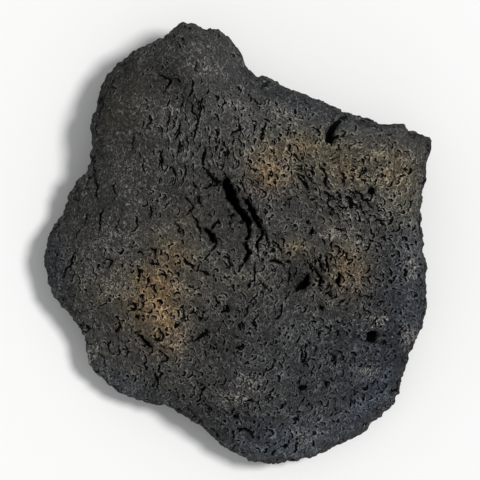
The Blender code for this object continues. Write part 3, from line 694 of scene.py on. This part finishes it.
def holeFields(x, y, wobble):
    # inside an ellipse the floor drops along a rounded well: depth * sqrt(1 - q^2), where q is
    # the distance from the middle in radii, made a little uneven
    depth = np.zeros(len(x))
    nearest = np.full(len(x), farOff)
    for centreX, centreY, long, wide, turn, deep in holes.values():
        along, aside = turned(x, y, centreX, centreY, turn)
        ratio = np.hypot(along / long, aside / wide) * (1 + crust["holeWobble"] * wobble)
        well = deep * np.sqrt(np.clip(1 - ratio ** 2, 0, 1))
        depth = np.maximum(depth, well * smoothStep(-ratio, *crust["holeEdge"]))
        if deep > long:
            nearest = np.minimum(nearest, ratio)
    return depth, nearest


def cleftFields(x, y, wobble):
    # a cleft is a line of changing half-width: its wall falls as a rounded well,
    # depth * sqrt(1 - q^2), where q is the distance from the line in half-widths
    depth = np.zeros(len(x))
    nearest = np.full(len(x), farOff)
    for deep, line in clefts.values():
        for start, end in zip(line, line[1:]):
            share, gapX, gapY = spanGap(x, y, start, end)
            ratio = np.hypot(gapX, gapY) / (start[2] + share * (end[2] - start[2]))
            ratio = ratio * (1 + crust["cleftWobble"] * wobble)
            nearest = np.minimum(nearest, ratio)
            well = deep * np.sqrt(np.clip(1 - (ratio / crust["cleftReach"]) ** 2, 0, 1))
            depth = np.maximum(depth, well)
    return depth, nearest


def craterDepth(points, size, chance, radius, deep):
    # round bowls scattered one to a cell: the floor is tilted, deepest on one side, and a low
    # lip stands round it
    near, away, luck = cells(points / size)
    least, more = crust["bowlSize"]
    level, slope = crust["bowlTilt"]
    reach = radius * (least + more * luck[:, 0])
    ratio = near / reach
    tilt = level + slope * (away @ np.array(crust["bowlSide"])) / reach
    bowl = smoothStep(-ratio, *crust["bowlEdge"]) * np.clip(tilt, *crust["bowlFloor"])
    lip = crust["lipHeight"] * np.exp(-((ratio - crust["lipPlace"]) / crust["lipWidth"]) ** 2)
    return np.where(luck[:, 1] < chance, deep * (0.5 + luck[:, 2]) * (bowl - lip), 0)


def strokeField(x, y, kind):
    # each stroke is part of a circle, tapered as 1 - q^2 to both ends; the ground falls away
    # inside the bend as exp(distance), stands up in a low lip outside it, and steps between.
    # Returns the depth, and for the nearest stroke the distance, positive outside the bend,
    # and the half-width there, which is 0 far from any stroke
    random = np.random.default_rng(kind["seed"])
    shuffle = random.permutation(latticeSize)
    scatter = random.uniform(*scatterSpan, size=(latticeSize, 2))
    luck = random.uniform(size=(latticeSize, 5))
    style, pitch = strokeStyle, kind["pitch"]
    cellX, cellY = np.floor(x / pitch).astype(int), np.floor(y / pitch).astype(int)
    depth = np.zeros(len(x))
    nearest = np.full(len(x), 2.0)
    wide = np.zeros(len(x))
    for stepX, stepY in np.ndindex(3, 3):
        nearX, nearY = cellX + stepX - 1, cellY + stepY - 1
        key = latticeKey(shuffle, nearX, nearY)
        middle = (nearX + scatter[key, 0]) * pitch, (nearY + scatter[key, 1]) * pitch
        upright, slanted = areaShare(*middle, "upright"), areaShare(*middle, "slanted")
        ordered = np.maximum(upright, slanted)
        chance = kind["chance"] + kind["pitted"] * areaShare(*middle, "pitted")
        chance *= 1 - areaShare(*middle, "calm") * (1 - style["calmed"] * ordered)
        chance *= 1 - style["platesCalmed"] * areaShare(*middle, "plates")
        bulge = math.radians(style["uprightBulge"]) * (1 - upright)
        bulge += math.radians(style["slantedBulge"]) * slanted
        loose = 1 - style["linedUp"] * ordered
        bulge += math.radians(style["scatter"]) * (luck[key, 0] - 0.5) * loose
        halfLength = kind["halfLength"] * (0.5 + luck[key, 1]) * (1 + style["stretch"] * ordered)
        radius = kind["radius"] * (0.5 + luck[key, 2]) * (1 + ordered)
        thin = style["slantedThin"] * slanted + style["uprightThin"] * upright
        halfWidth = kind["halfWidth"] * (0.6 + 0.8 * luck[key, 4]) * (1 - thin)

        gapX = x - middle[0] + radius * np.cos(bulge)
        gapY = y - middle[1] + radius * np.sin(bulge)
        turn = np.arctan2(gapY, gapX) - bulge
        turn = np.abs((turn + math.pi) % (2 * math.pi) - math.pi)
        taper = np.clip(1 - (turn * radius / halfLength) ** 2, 0, 1)
        taper *= luck[key, 3] < chance
        gap = np.hypot(gapX, gapY) - radius
        wall = smoothStep(gap, -style["wall"], style["wall"])
        inside = np.exp(np.minimum(gap, 0) / style["fade"])
        outside = style["lip"] * np.exp(-np.maximum(gap, 0) / style["fade"])
        depth += kind["deep"] * taper * ((1 - wall) * inside - wall * outside)

        closer = (np.abs(gap) < np.abs(nearest)) & (taper > 0)
        nearest[closer] = gap[closer]
        wide[closer] = (halfWidth * taper)[closer]
    return depth, nearest, wide * smoothStep(-np.abs(nearest), *style["nearBand"])


def seamFields(points):
    # wandering lines where a warped noise passes through zero, broken up by a second noise
    warp = fineNoises(points / 1.9, 0, 17, 41)
    line = fineNoise(points / crust["seamPitch"] + crust["seamWarp"] * warp)
    broken = fineNoise(points / 3.0 + 23) + 0.35 * fineNoise(points / 1.4 + 29)
    return line, smoothStep(broken, *crust["seamBreaks"])


# cells along a side of the top, rings down the flank, and how far along the base's profile
# each step of its edge goes
grid = {"topCells": 260, "flankRings": 24, "baseStep": 0.012}


def crustGrid():
    # a square of cells drawn out to a disc for the top, rings for the flank, two rows in which
    # the number of points halves, and a small square for the middle of the base

    def squarePlaces(side):
        # for each corner of the cells, the azimuth and the share of the way to the edge
        line = np.linspace(-1, 1, side + 1)
        u, v = [part.ravel() for part in np.meshgrid(line, line)]
        size = np.maximum(np.abs(u), np.abs(v))
        level = np.abs(u) >= np.abs(v)
        slope = np.where(level, v, u) / np.where(size == 0, 1, size) * math.pi / 4
        upDown = np.where(v >= 0, math.pi / 2 - slope, -math.pi / 2 + slope)
        return np.where(level, np.where(u >= 0, slope, math.pi - slope), upDown), size

    def perimeter(side):
        walk = np.arange(side)
        return np.concatenate([walk, side + walk * (side + 1), (side + 1) ** 2 - 1 - walk,
                               (side - walk) * (side + 1)])

    def squareFaces(side, start):
        corner = (np.arange(side)[:, None] * (side + 1) + np.arange(side)).ravel() + start
        return np.stack([corner, corner + 1, corner + side + 2, corner + side + 1], axis=1)

    _, _, rimPlace, footPlace = profileTable()
    side, step = grid["topCells"], grid["baseStep"]
    angle, size = squarePlaces(side)
    azimuth, place = [angle], [size * rimPlace]
    quads = [squareFaces(side, 0)]
    triangles = []
    edge = perimeter(side)
    edgeAngle = azimuth[0][edge]
    count = (side + 1) ** 2
    for ring in range(1, grid["flankRings"] + 1):
        azimuth.append(edgeAngle)
        share = ring / grid["flankRings"]
        place.append(np.full(4 * side, rimPlace + (footPlace - rimPlace) * share))
        fresh = count + np.arange(4 * side)
        quads.append(np.stack([edge, fresh, np.roll(fresh, -1), np.roll(edge, -1)], axis=1))
        edge = fresh
        count += 4 * side
    for halving in (1, 2):
        edgeAngle = edgeAngle[::2]
        azimuth.append(edgeAngle)
        place.append(np.full(len(edgeAngle), footPlace + step * halving))
        fresh = count + np.arange(len(edgeAngle))
        following, middle, last = np.roll(fresh, -1), edge[1::2], np.roll(edge[::2], -1)
        triangles += [np.stack([edge[::2], fresh, middle], axis=1),
                      np.stack([middle, fresh, following], axis=1),
                      np.stack([middle, following, last], axis=1)]
        edge = fresh
        count += len(fresh)
    inner = side // 4
    angle, size = squarePlaces(inner)
    azimuth.append(angle)
    place.append(1 - size * (1 - footPlace - 3 * step))
    quads.append(squareFaces(inner, count)[:, ::-1])
    rim = perimeter(inner) + count
    quads.append(np.stack([edge, rim, np.roll(rim, -1), np.roll(edge, -1)], axis=1))
    return np.concatenate(azimuth), np.concatenate(place), np.concatenate(quads), \
        np.concatenate(triangles)


def meshFrom(name, points, quads, triangles):
    # a smooth mesh, and an object for it, from arrays of points and of the corners of its faces
    mesh = bpy.data.meshes.new(name)
    mesh.vertices.add(len(points))
    mesh.vertices.foreach_set("co", (points * mm).ravel())
    mesh.loops.add(quads.size + triangles.size)
    mesh.loops.foreach_set("vertex_index", np.concatenate([quads.ravel(), triangles.ravel()]))
    starts = np.concatenate([np.arange(len(quads)) * 4,
                             quads.size + np.arange(len(triangles)) * 3])
    mesh.polygons.add(len(starts))
    mesh.polygons.foreach_set("loop_start", starts)
    mesh.update(calc_edges=True)
    mesh.validate()
    mesh.shade_smooth()
    piece = bpy.data.objects.new(name, mesh)
    bpy.context.scene.collection.objects.link(piece)
    return piece


def giveAttribute(piece, name, values):
    # one number for each point, which the material reads by name
    layer = piece.data.attributes.new(name, 'FLOAT', 'POINT')
    layer.data.foreach_set("value", values.astype(np.float32))


def makeCrust():
    azimuth, place, quads, triangles = crustGrid()
    points, outward, rise, drop, atRim = slabSurface(azimuth, place)
    x, y = points[:, 0].copy(), points[:, 1].copy()
    onTop = smoothStep(rise, *crust["topBand"])
    underneath = smoothStep(drop, *crust["baseBand"])
    calm = areaShare(x, y, "calm") * onTop
    pitted = areaShare(x, y, "pitted") * onTop
    lively = 1 - crust["calmed"] * calm
    print("slab surface:", len(points), "points")

    depth = np.zeros(len(points))
    for size, height in crust["grain"]:
        rough = fineNoise(points / size + size)
        depth -= height * rough * (1 - crust["grainCalmed"] * calm)
    warp = crust["pillowWarp"] * fineNoises(points / 2.0, 13, 19, 47)
    for size, height in crust["pillows"]:
        fold = np.abs(fineNoise(points / size + warp + 2 * size)) - crust["pillowLevel"]
        depth -= height * fold * (1 - crust["pillowsCalmed"] * calm)
    for size, chance, radius, deep in crust["craters"]:
        depth += lively * craterDepth(points + 100 * size, size, chance, radius, deep)
    for size, chance, radius, deep in crust["pits"]:
        chance = chance + crust["pitsAdded"] * pitted
        depth += lively * craterDepth(points + 37 * size, size, chance, radius, deep)
    print("craters")

    seam, seamMask = seamFields(points)
    seamMask = seamMask * (1 - onTop)
    across = seam / crust["seamWidth"]
    lift = np.tanh(across) * np.exp(-np.abs(across) / 4)
    groove = crust["seamDepth"] * np.exp(-across ** 2)
    depth += (groove + crust["seamStep"] * lift) * seamMask

    bendX = fineNoise(points / 2.0 + 7) + 0.5 * fineNoise(points + 9)
    bendY = fineNoise(points / 2.0 + 3) + 0.5 * fineNoise(points + 5)
    bendX, bendY = x + strokeStyle["warp"] * bendX, y + strokeStyle["warp"] * bendY
    marks = {}
    for name, kind in strokes.items():
        down, gap, wide = strokeField(bendX, bendY, kind)
        depth += down * onTop
        marks[name] = gap, wide * onTop
    print("seams and strokes")

    swayX = bendX + crust["crackWarp"] * fineNoise(points / 1.5 + 17)
    swayY = bendY + crust["crackWarp"] * fineNoise(points / 1.5 + 27)
    ratio, side, width = crackFields(swayX, swayY)
    groove = np.clip(1 - ratio / crust["crackReach"], 0, 1)
    beyond = ratio - crust["crackReach"] - crust["crackLipGap"]
    lip = crust["crackLip"] * np.exp(-(beyond / crust["crackLipWidth"]) ** 2)
    depth += crust["crackDepth"] * (groove - lip) * onTop * np.sqrt(np.clip(width, 0, 1))
    wells, wellRatio = holeFields(x, y, fineNoise(points / 1.6 + 77))
    openings, cleftRatio = cleftFields(bendX, bendY, fineNoise(points / 1.3 + 78))
    wells = np.maximum(wells, openings) * onTop
    depth = np.maximum(depth, crust["marksInHoles"] * depth + wells)
    print("cracks and holes")

    depth *= (1 - crust["rimCalmed"] * atRim) * (1 - crust["baseCalmed"] * underneath)
    for size, height in crust["ragged"]:
        rough = fineNoise(points * (1 / size, 1 / size, crust["raggedRise"] / size) + 3 * size)
        depth -= height * rough * (1 - onTop) * (1 - underneath)
    points = points - outward * depth[:, None]
    points[:, 2] = np.maximum(points[:, 2], 0)
    low, high = points.min(axis=0), points.max(axis=0)
    points[:, :2] -= ((low + high) / 2)[:2]

    orderly = 0.7 * areaShare(x, y, "slanted") + 0.4 * areaShare(x, y, "upright")
    spread = 1 + 0.5 * noise(points / 6.0 + 3)
    values = {
        # how deep each point lies, darkened in the material as painted shade
        "cavity": np.clip(depth / crust["cavityDepth"], 0, 1),
        "crackSide": np.clip(ratio, 0, 3) * side,
        "crackNear": smoothStep(-ratio, *crust["crackBand"]) * onTop,
        "seam": seam, "seamMask": seamMask, "pitted": pitted,
        "calm": np.clip(calm + orderly * onTop, 0, 1),
        # the painted bounce light along the edges
        "bounceTint": areaShare(x, y, "bounceTint") * (0.3 + 0.7 * onTop),
        # how near each point is to a hole or cleft, blackened in the material as painted shade
        "well": np.clip(np.minimum(wellRatio, cleftRatio), 0, 2),
    }
    for name, (gap, wide) in marks.items():
        values[name + "Gap"], values[name + "Wide"] = gap, wide
    for name in ("rust", "khaki"):
        values[name] = np.clip(bells(x, y, areas[name]) * spread, 0, 1) * onTop
    # these carry painted shade in the hollow and painted bounce light along the lower edges
    for name in ("plates", "darkToneAndShade", "paleToneAndBounce", "flecks"):
        values[name] = areaShare(x, y, name)
    piece = meshFrom("lava_crust", points, quads, triangles)
    for name, value in values.items():
        giveAttribute(piece, name, value)
    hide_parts("lava_rock")
    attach(piece, "root")
    print("crust mesh:", len(piece.data.vertices), "points")
    return piece


class Sum:
    # a socket that adds Math nodes when numbers or other sockets are combined with it
    def __init__(self, nodes, socket):
        self.nodes, self.socket = nodes, socket

    def combine(self, operation, *values):
        return self.nodes.add("ShaderNodeMath", {"operation": operation}, values)

    def __add__(self, other):
        return self.combine('ADD', self, other)

    def __radd__(self, other):
        return self.combine('ADD', other, self)

    def __sub__(self, other):
        return self.combine('SUBTRACT', self, other)

    def __rsub__(self, other):
        return self.combine('SUBTRACT', other, self)

    def __mul__(self, other):
        return self.combine('MULTIPLY', self, other)

    def __rmul__(self, other):
        return self.combine('MULTIPLY', other, self)

    def __truediv__(self, other):
        return self.combine('DIVIDE', self, other)

    def __rtruediv__(self, other):
        return self.combine('DIVIDE', other, self)

    def __neg__(self):
        return self.combine('MULTIPLY', self, -1.0)

    def __abs__(self):
        return self.combine('ABSOLUTE', self)


class NodeBench:
    # makes the nodes of one material
    def __init__(self, material):
        self.tree = material.node_tree
        self.column = 0

    def add(self, kind, settings=None, inputs=(), output=0):
        # any node: what is set on it, then the values or links of its inputs, by name or number
        node = self.tree.nodes.new(kind)
        self.column += 1
        node.location = (180 * (self.column % 12) - 2400, -220 * (self.column // 12))
        for name, value in (settings or {}).items():
            setattr(node, name, value)
        pairs = inputs.items() if isinstance(inputs, dict) else enumerate(inputs)
        for name, value in pairs:
            if isinstance(value, Sum):
                self.tree.links.new(value.socket, node.inputs[name])
            else:
                node.inputs[name].default_value = value
        return Sum(self, node.outputs[output])

    def attribute(self, name):
        settings = {"attribute_name": name, "attribute_type": 'GEOMETRY'}
        return self.add("ShaderNodeAttribute", settings, output="Fac")

    def step(self, value, low, high):
        return self.add("ShaderNodeMapRange", {"interpolation_type": 'SMOOTHSTEP'},
                        {"Value": value, "From Min": low, "From Max": high})

    def vector(self, operation, *values):
        output = "Value" if operation in ('LENGTH', 'DOT_PRODUCT') else "Vector"
        return self.add("ShaderNodeVectorMath", {"operation": operation}, values, output)

    def scaled(self, vector, factor):
        settings = {"operation": 'SCALE'}
        return self.add("ShaderNodeVectorMath", settings, {0: vector, "Scale": factor})

    def clamp(self, value):
        return self.add("ShaderNodeClamp", {}, {"Value": value})

    def atLeast(self, value, least):
        return self.add("ShaderNodeMath", {"operation": 'MAXIMUM'}, [value, least])

    def split(self, colour):
        node = self.add("ShaderNodeSeparateColor", {}, [colour]).socket.node
        return [Sum(self, socket) for socket in node.outputs]

    def cells(self, place, scale):
        node = self.add("ShaderNodeTexVoronoi", {}, {"Vector": place, "Scale": scale}).socket.node
        return [Sum(self, node.outputs[name]) for name in ("Color", "Position")]

    def noiseVector(self, place, scale):
        # three noises at once, each from minus a half to a half
        inputs = {"Vector": place, "Scale": scale}
        colour = self.add("ShaderNodeTexNoise", {}, inputs, output="Color")
        return self.vector('SUBTRACT', colour, (0.5, 0.5, 0.5))

    def noise(self, place, scale, detail=2.0, rough=0.5, distortion=0.0):
        return self.add("ShaderNodeTexNoise", {}, {
            "Vector": place, "Scale": scale, "Detail": detail, "Roughness": rough,
            "Distortion": distortion})

    def mixColours(self, share, one, two):
        inputs = {0: share, 6: one, 7: two}
        return self.add("ShaderNodeMix", {"data_type": 'RGBA'}, inputs, output=2)


# linear colours; depths and heights of the finest marks in millimetres; how much the grain,
# the rims and the specks lighten the stone
stone = {
    "grey": (0.0585, 0.0575, 0.0555, 1), "dark": (0.041, 0.0405, 0.0395, 1),
    # bounceTint is the colour of the painted bounce light
    "bounceTint": (0.051, 0.060, 0.075, 1), "khaki": (0.100, 0.093, 0.069, 1),
    "rust": (0.200, 0.136, 0.074, 1), "pale": (0.30, 0.285, 0.255, 1),
    "lineDepth": 0.30, "pitDepth": 0.30, "rimHeight": 0.10,
    "grainHeight": 0.75, "fineHeight": 0.30,
    "facing": (0.92, 0.35, 0.1),  # the side toward the sun, where pits have their steep wall and its painted shadow
    "plain": 0.66, "grainLight": 1.4, "fineLight": 1.0, "rimLight": 2.4,
    "speckLight": 0.6, "speckLightCalm": 0.5, "darkest": 0.15, "cavityShade": 0.6,
    "roughness": 0.9, "roughSwing": 0.14, "specular": 0.08,
}

# the material's noises: scale to a millimetre, detail, roughness, distortion
noises = {
    "broad": (0.06, 2), "mottle": (0.35, 3, 0.6), "grain": (0.85, 2, 0.7, 0.6),
    "fine": (2.1, 2, 0.75), "wearAndHighlight": (0.6, 2, 0.6), "busy": (0.16, 2, 0.6),
    "speck": (1.25, 1, 0.6, 0.8), "fleck": (0.9, 2, 0.5, 0.6), "fleckArea": (0.12, 2),
    "fleckPatch": (0.7, 2, 0.6, 1.5),
}

# the marks too fine for the mesh: squiggles have the shift of their noise, pitch, half-width
# and share, crescents their pitch, radius, thickness, chance, and what an area adds to it
fineMarks = {
    "curl": ((9, 4, 2), 1.0, 0.075, 0.35), "thread": ((3, 7, 5), 2.0, 0.065, 0.15),
    "wisp": ((1, 5, 8), 1.3, 0.10, 0.20),
    "arc": (1.9, 0.46, 0.42, 0.25, 0.35), "dot": (1.15, 0.27, 0.34, 0.30, 0.25),
}


def squiggles(bench, place, shift, pitch, halfWidth, share):
    # short curling steps where a warped noise passes its middle value, cut into strokes by a
    # second noise: a dark line along the foot of each, painted shadow, and a pale one along its
    # top, partly worn edge and partly painted highlight
    where = bench.vector('MULTIPLY_ADD', place, (1.0, 0.75, 0.9), shift)
    field = bench.noise(where, 1 / pitch, 1.0, 0.5, 1.2) - 0.5
    cut = bench.noise(where, 1.1 / pitch, 1.0, 0.5)
    shown = bench.step(cut, 0.60 - share * 0.25, 0.64 - share * 0.25)
    edge, fade = 0.2 * halfWidth, (-1.5 * halfWidth, -0.9 * halfWidth)
    foot = bench.step(field, *fade) * bench.step(-field, -edge, edge)
    top = bench.step(field, -edge, edge) * bench.step(-field, *fade)
    return foot * shown, top * shown


def crescents(bench, place, pitch, radius, thickness, chance, added, area):
    # one round pit to a cell, of uneven size: a dark crescent, painted shadow under its steep
    # wall on the side toward the sun, thickness * cos(angle) wide, a pale edge outside that,
    # partly worn edge and partly painted highlight, and a floor sloping up to the other
    spread = bench.noiseVector(place, 0.8 / pitch)
    where = bench.vector('MULTIPLY_ADD', spread, (pitch / 2,) * 3, place)
    colour, centre = bench.cells(where, 1 / pitch)
    luck, size, turn = bench.split(colour)
    offset = bench.vector('SUBTRACT', where, centre)
    reach = radius * (0.6 + 0.8 * size)
    away = bench.vector('LENGTH', offset)
    facing = bench.vector('DOT_PRODUCT', offset, stone["facing"]) / (away + 0.01)
    facing = facing + 0.5 * (turn - 0.5)
    there = bench.step(area * added + chance - luck, -0.02, 0.02)
    gap = reach - away
    dark = bench.step(gap, -0.06, 0.03) * bench.step(thickness * facing - gap, -0.02, 0.08)
    inside = bench.step(gap, -0.1, 0.25) * (0.35 + 0.65 * facing)
    rim = bench.step(gap, -0.42, -0.28) * bench.step(-gap, -0.02, 0.06)
    rim = rim * bench.step(abs(facing), 0.1, 0.7)
    return dark * there, bench.clamp(inside * there), rim * there


def strokeLines(bench, name, uneven):
    # the sharp dark line of a modelled stroke, painted shadow in its groove, swelling and
    # thinning along its length, the pale lip outside it and a fainter one inside, partly worn
    # edge and partly painted highlight
    gap, wide = bench.attribute(name + "Gap"), bench.attribute(name + "Wide")
    there = bench.step(wide, 0.02, 0.12)
    spread = wide * (1.0 + uneven)
    line = bench.step(spread - abs(gap + 0.06), -0.02, 0.08) * there
    lip = bench.step(gap - spread, -0.05, 0.05) * bench.step(spread + 0.50 - gap, 0.0, 0.15)
    inner = bench.step(-gap - spread, 0.1, 0.2) * bench.step(spread + 0.65 + gap, 0.0, 0.2)
    return line, (lip + inner * 0.4) * there


def makeStone():
    material = bpy.data.materials.new("lava")
    material.use_nodes = True
    bench = NodeBench(material)
    shader = bench.tree.nodes["Principled BSDF"]
    place = bench.scaled(bench.add("ShaderNodeTexCoord", output="Object"), 1 / mm)
    calm, pitted = bench.attribute("calm"), bench.attribute("pitted")
    plates = bench.attribute("plates")
    lively = (1.0 - calm) * (1.0 - 0.4 * plates)

    noise = {name: bench.noise(place, *setting) for name, setting in noises.items()}
    grain, fine, mottle = noise["grain"] - 0.5, noise["fine"] - 0.5, noise["mottle"]
    # patches where the pale rims, partly worn edge and partly painted highlight, show more
    wearAndHighlight = bench.step(noise["wearAndHighlight"], 0.35, 0.6)
    busy = bench.step(noise["busy"], 0.38, 0.62)
    uneven = (fine + grain) * 1.6

    # the modelled marks: a sharp dark line in each, painted shadow in its groove, and a pale
    # lip beside it, partly worn edge and partly painted highlight
    crack = bench.step(1.3 + uneven * 1.4 - abs(bench.attribute("crackSide")), 0.0, 0.3)
    crack = crack * bench.attribute("crackNear")
    seam = bench.step(0.14 - abs(bench.attribute("seam")), 0.0, 0.07)
    seam = seam * bench.attribute("seamMask")
    longLine, longLip = strokeLines(bench, "long", uneven)
    shortLine, shortLip = strokeLines(bench, "short", uneven)
    modelled = crack + seam + longLine + shortLine

    curl, curlTop = squiggles(bench, place, *fineMarks["curl"])
    thread, threadTop = squiggles(bench, place, *fineMarks["thread"])
    wisp, wispTop = squiggles(bench, place, *fineMarks["wisp"])
    arc, arcFloor, arcRim = crescents(bench, place, *fineMarks["arc"], busy)
    dot, dotFloor, dotRim = crescents(bench, place, *fineMarks["dot"], pitted)
    curl = curl * (0.35 + 0.65 * pitted)
    # painted shadow: the dark feet of the squiggles and the dark crescents of the pits
    fineLines = (curl * 0.8 + bench.clamp(arc + dot)) * lively + (thread + wisp) * 0.35
    # pale rims beside the dark marks: partly worn edge, partly painted highlight on lit edges
    rims = (longLip + shortLip) * (0.2 + 0.8 * wearAndHighlight)
    rims = rims + (curlTop + arcRim + dotRim) * lively * (0.1 + 0.6 * wearAndHighlight)
    rims = bench.clamp(rims + (threadTop + wispTop) * (0.3 + 0.6 * wearAndHighlight))
    rims = rims * (0.4 + 0.6 * busy) * (1.0 - 0.5 * plates)

    # the colour of the stone, its stains and the painted bounce light on its edges
    tone = bench.step(noise["broad"] * 0.4 + mottle * 0.5 + grain * 0.5, 0.25, 0.75)
    colour = bench.mixColours(tone, stone["dark"], stone["grey"])
    # painted bounce light: the edges tinted by bluish light from the ground
    colour = bench.mixColours(bench.attribute("bounceTint") * 0.9, colour, stone["bounceTint"])
    khaki = bench.attribute("khaki") * bench.step(mottle + grain * 0.5, 0.2, 0.65)
    colour = bench.mixColours(khaki, colour, stone["khaki"])
    rust = bench.attribute("rust") * bench.step(mottle * 0.6 + grain, -0.05, 0.38)
    colour = bench.mixColours(rust, colour, stone["rust"])

    # lighter on grain, rims and specks, the rims partly painted highlight; darker in lines,
    # cavities and holes, as painted shade
    speck = bench.step(noise["speck"], 0.60, 0.68)
    bright = stone["plain"] + grain * stone["grainLight"] + fine * stone["fineLight"]
    bright = bright + rims * stone["rimLight"]
    bright = bright + speck * (stone["speckLight"] + stone["speckLightCalm"] * calm)
    # paler and darker stretches, with painted bounce light on the bottom and right edges and
    # painted shade in the hollow right of the middle
    bright = bright * (1.0 + bench.attribute("paleToneAndBounce")) * (1.0 - bench.attribute("darkToneAndShade"))
    # painted shade: darker the deeper the surface lies
    deep = bench.step(bench.attribute("cavity"), 0.35, 1.2) * stone["cavityShade"]
    # painted shade: black inside holes and clefts
    well = bench.step(1.0 - bench.attribute("well") - (fine + grain) * 1.1, 0.0, 0.15)
    shade = 1.0 - bench.clamp(modelled + fineLines + deep + well)
    colour = bench.scaled(colour, bench.atLeast(bright, stone["darkest"]) * shade)

    # pale flecks, thick where the attribute says
    fleck = bench.step(noise["fleck"], 0.66, 0.73) * bench.step(noise["fleckArea"], 0.42, 0.6)
    patch = bench.step(noise["fleckPatch"], 0.56, 0.59) * 0.6
    patch = patch + threadTop + wispTop + arcRim * 0.5
    fleck = bench.clamp(fleck * 0.8 + patch * bench.attribute("flecks") * 2.0)
    colour = bench.mixColours(fleck * shade, colour, stone["pale"])

    height = grain * stone["grainHeight"] + fine * stone["fineHeight"]
    height = height + rims * stone["rimHeight"]
    height = height - (modelled + fineLines) * stone["lineDepth"]
    height = height - (arcFloor + dotFloor * 0.5) * lively * stone["pitDepth"]
    bump = bench.add("ShaderNodeBump", {}, {"Strength": 1.0, "Distance": mm, "Height": height})
    rough = stone["roughness"] + grain * stone["roughSwing"]
    for name, value in {"Base Color": colour, "Roughness": rough, "Normal": bump}.items():
        bench.tree.links.new(value.socket, shader.inputs[name])
    shader.inputs["Specular IOR Level"].default_value = stone["specular"]
    return material


# angles in degrees, lengths in millimetres but for the last, in metres
studio = {
    "floorSize": 20000.0, "floorColour": (0.80, 0.80, 0.79, 1), "floorRoughness": 0.9,
    "sunStrength": 2.6, "sunSpread": 14, "sunDirection": 15, "sunHeight": 61,
    "skyStrength": 0.50, "skyColour": (0.98, 0.99, 1.0, 1),
    "viewWidth": 163.2, "viewCentre": (0.85, 1.2), "rimLevel": 14.0, "cameraHeight": 2500.0,
    "sensorWidth": 36.0, "clipEnd": 100.0,
}


def makeFloor():
    # one plain square under the rock
    half = studio["floorSize"] / 2
    corners = np.array([(-half, -half, 0), (half, -half, 0), (half, half, 0), (-half, half, 0)])
    floor = meshFrom("floor", corners, np.array([[0, 1, 2, 3]]), np.zeros((0, 3), int))
    material = bpy.data.materials.new("floor")
    material.use_nodes = True
    shader = material.node_tree.nodes["Principled BSDF"]
    shader.inputs["Base Color"].default_value = studio["floorColour"]
    shader.inputs["Roughness"].default_value = studio["floorRoughness"]
    floor.data.materials.append(material)


def makeLight():
    # a broad low sun from the right and an even sky
    sun = bpy.data.lights.new("key", 'SUN')
    sun.energy = studio["sunStrength"]
    sun.angle = math.radians(studio["sunSpread"])
    lamp = bpy.data.objects.new("key", sun)
    lamp.rotation_euler = (0, math.radians(90 - studio["sunHeight"]),
                           math.radians(studio["sunDirection"]))
    bpy.context.scene.collection.objects.link(lamp)
    world = bpy.data.worlds.new("studio")
    world.use_nodes = True
    background = world.node_tree.nodes["Background"]
    background.inputs["Color"].default_value = studio["skyColour"]
    background.inputs["Strength"].default_value = studio["skyStrength"]
    bpy.context.scene.world = world


def makeCamera():
    # straight above, far enough away that the slab's thickness hardly changes its outline
    lens = bpy.data.cameras.new("camera")
    above = studio["cameraHeight"] - studio["rimLevel"]
    lens.sensor_width = studio["sensorWidth"]
    lens.lens = lens.sensor_width * above / studio["viewWidth"]
    lens.clip_end = studio["clipEnd"]
    camera = bpy.data.objects.new("camera", lens)
    camera.location = (studio["viewCentre"][0] * mm, studio["viewCentre"][1] * mm,
                       studio["cameraHeight"] * mm)
    bpy.context.scene.collection.objects.link(camera)
    bpy.context.scene.camera = camera


crustPiece = makeCrust()
crustPiece.data.materials.append(makeStone())
makeFloor()
makeLight()
makeCamera()
bpy.context.scene.view_settings.view_transform = 'Standard'
print("materials, floor, light and camera")
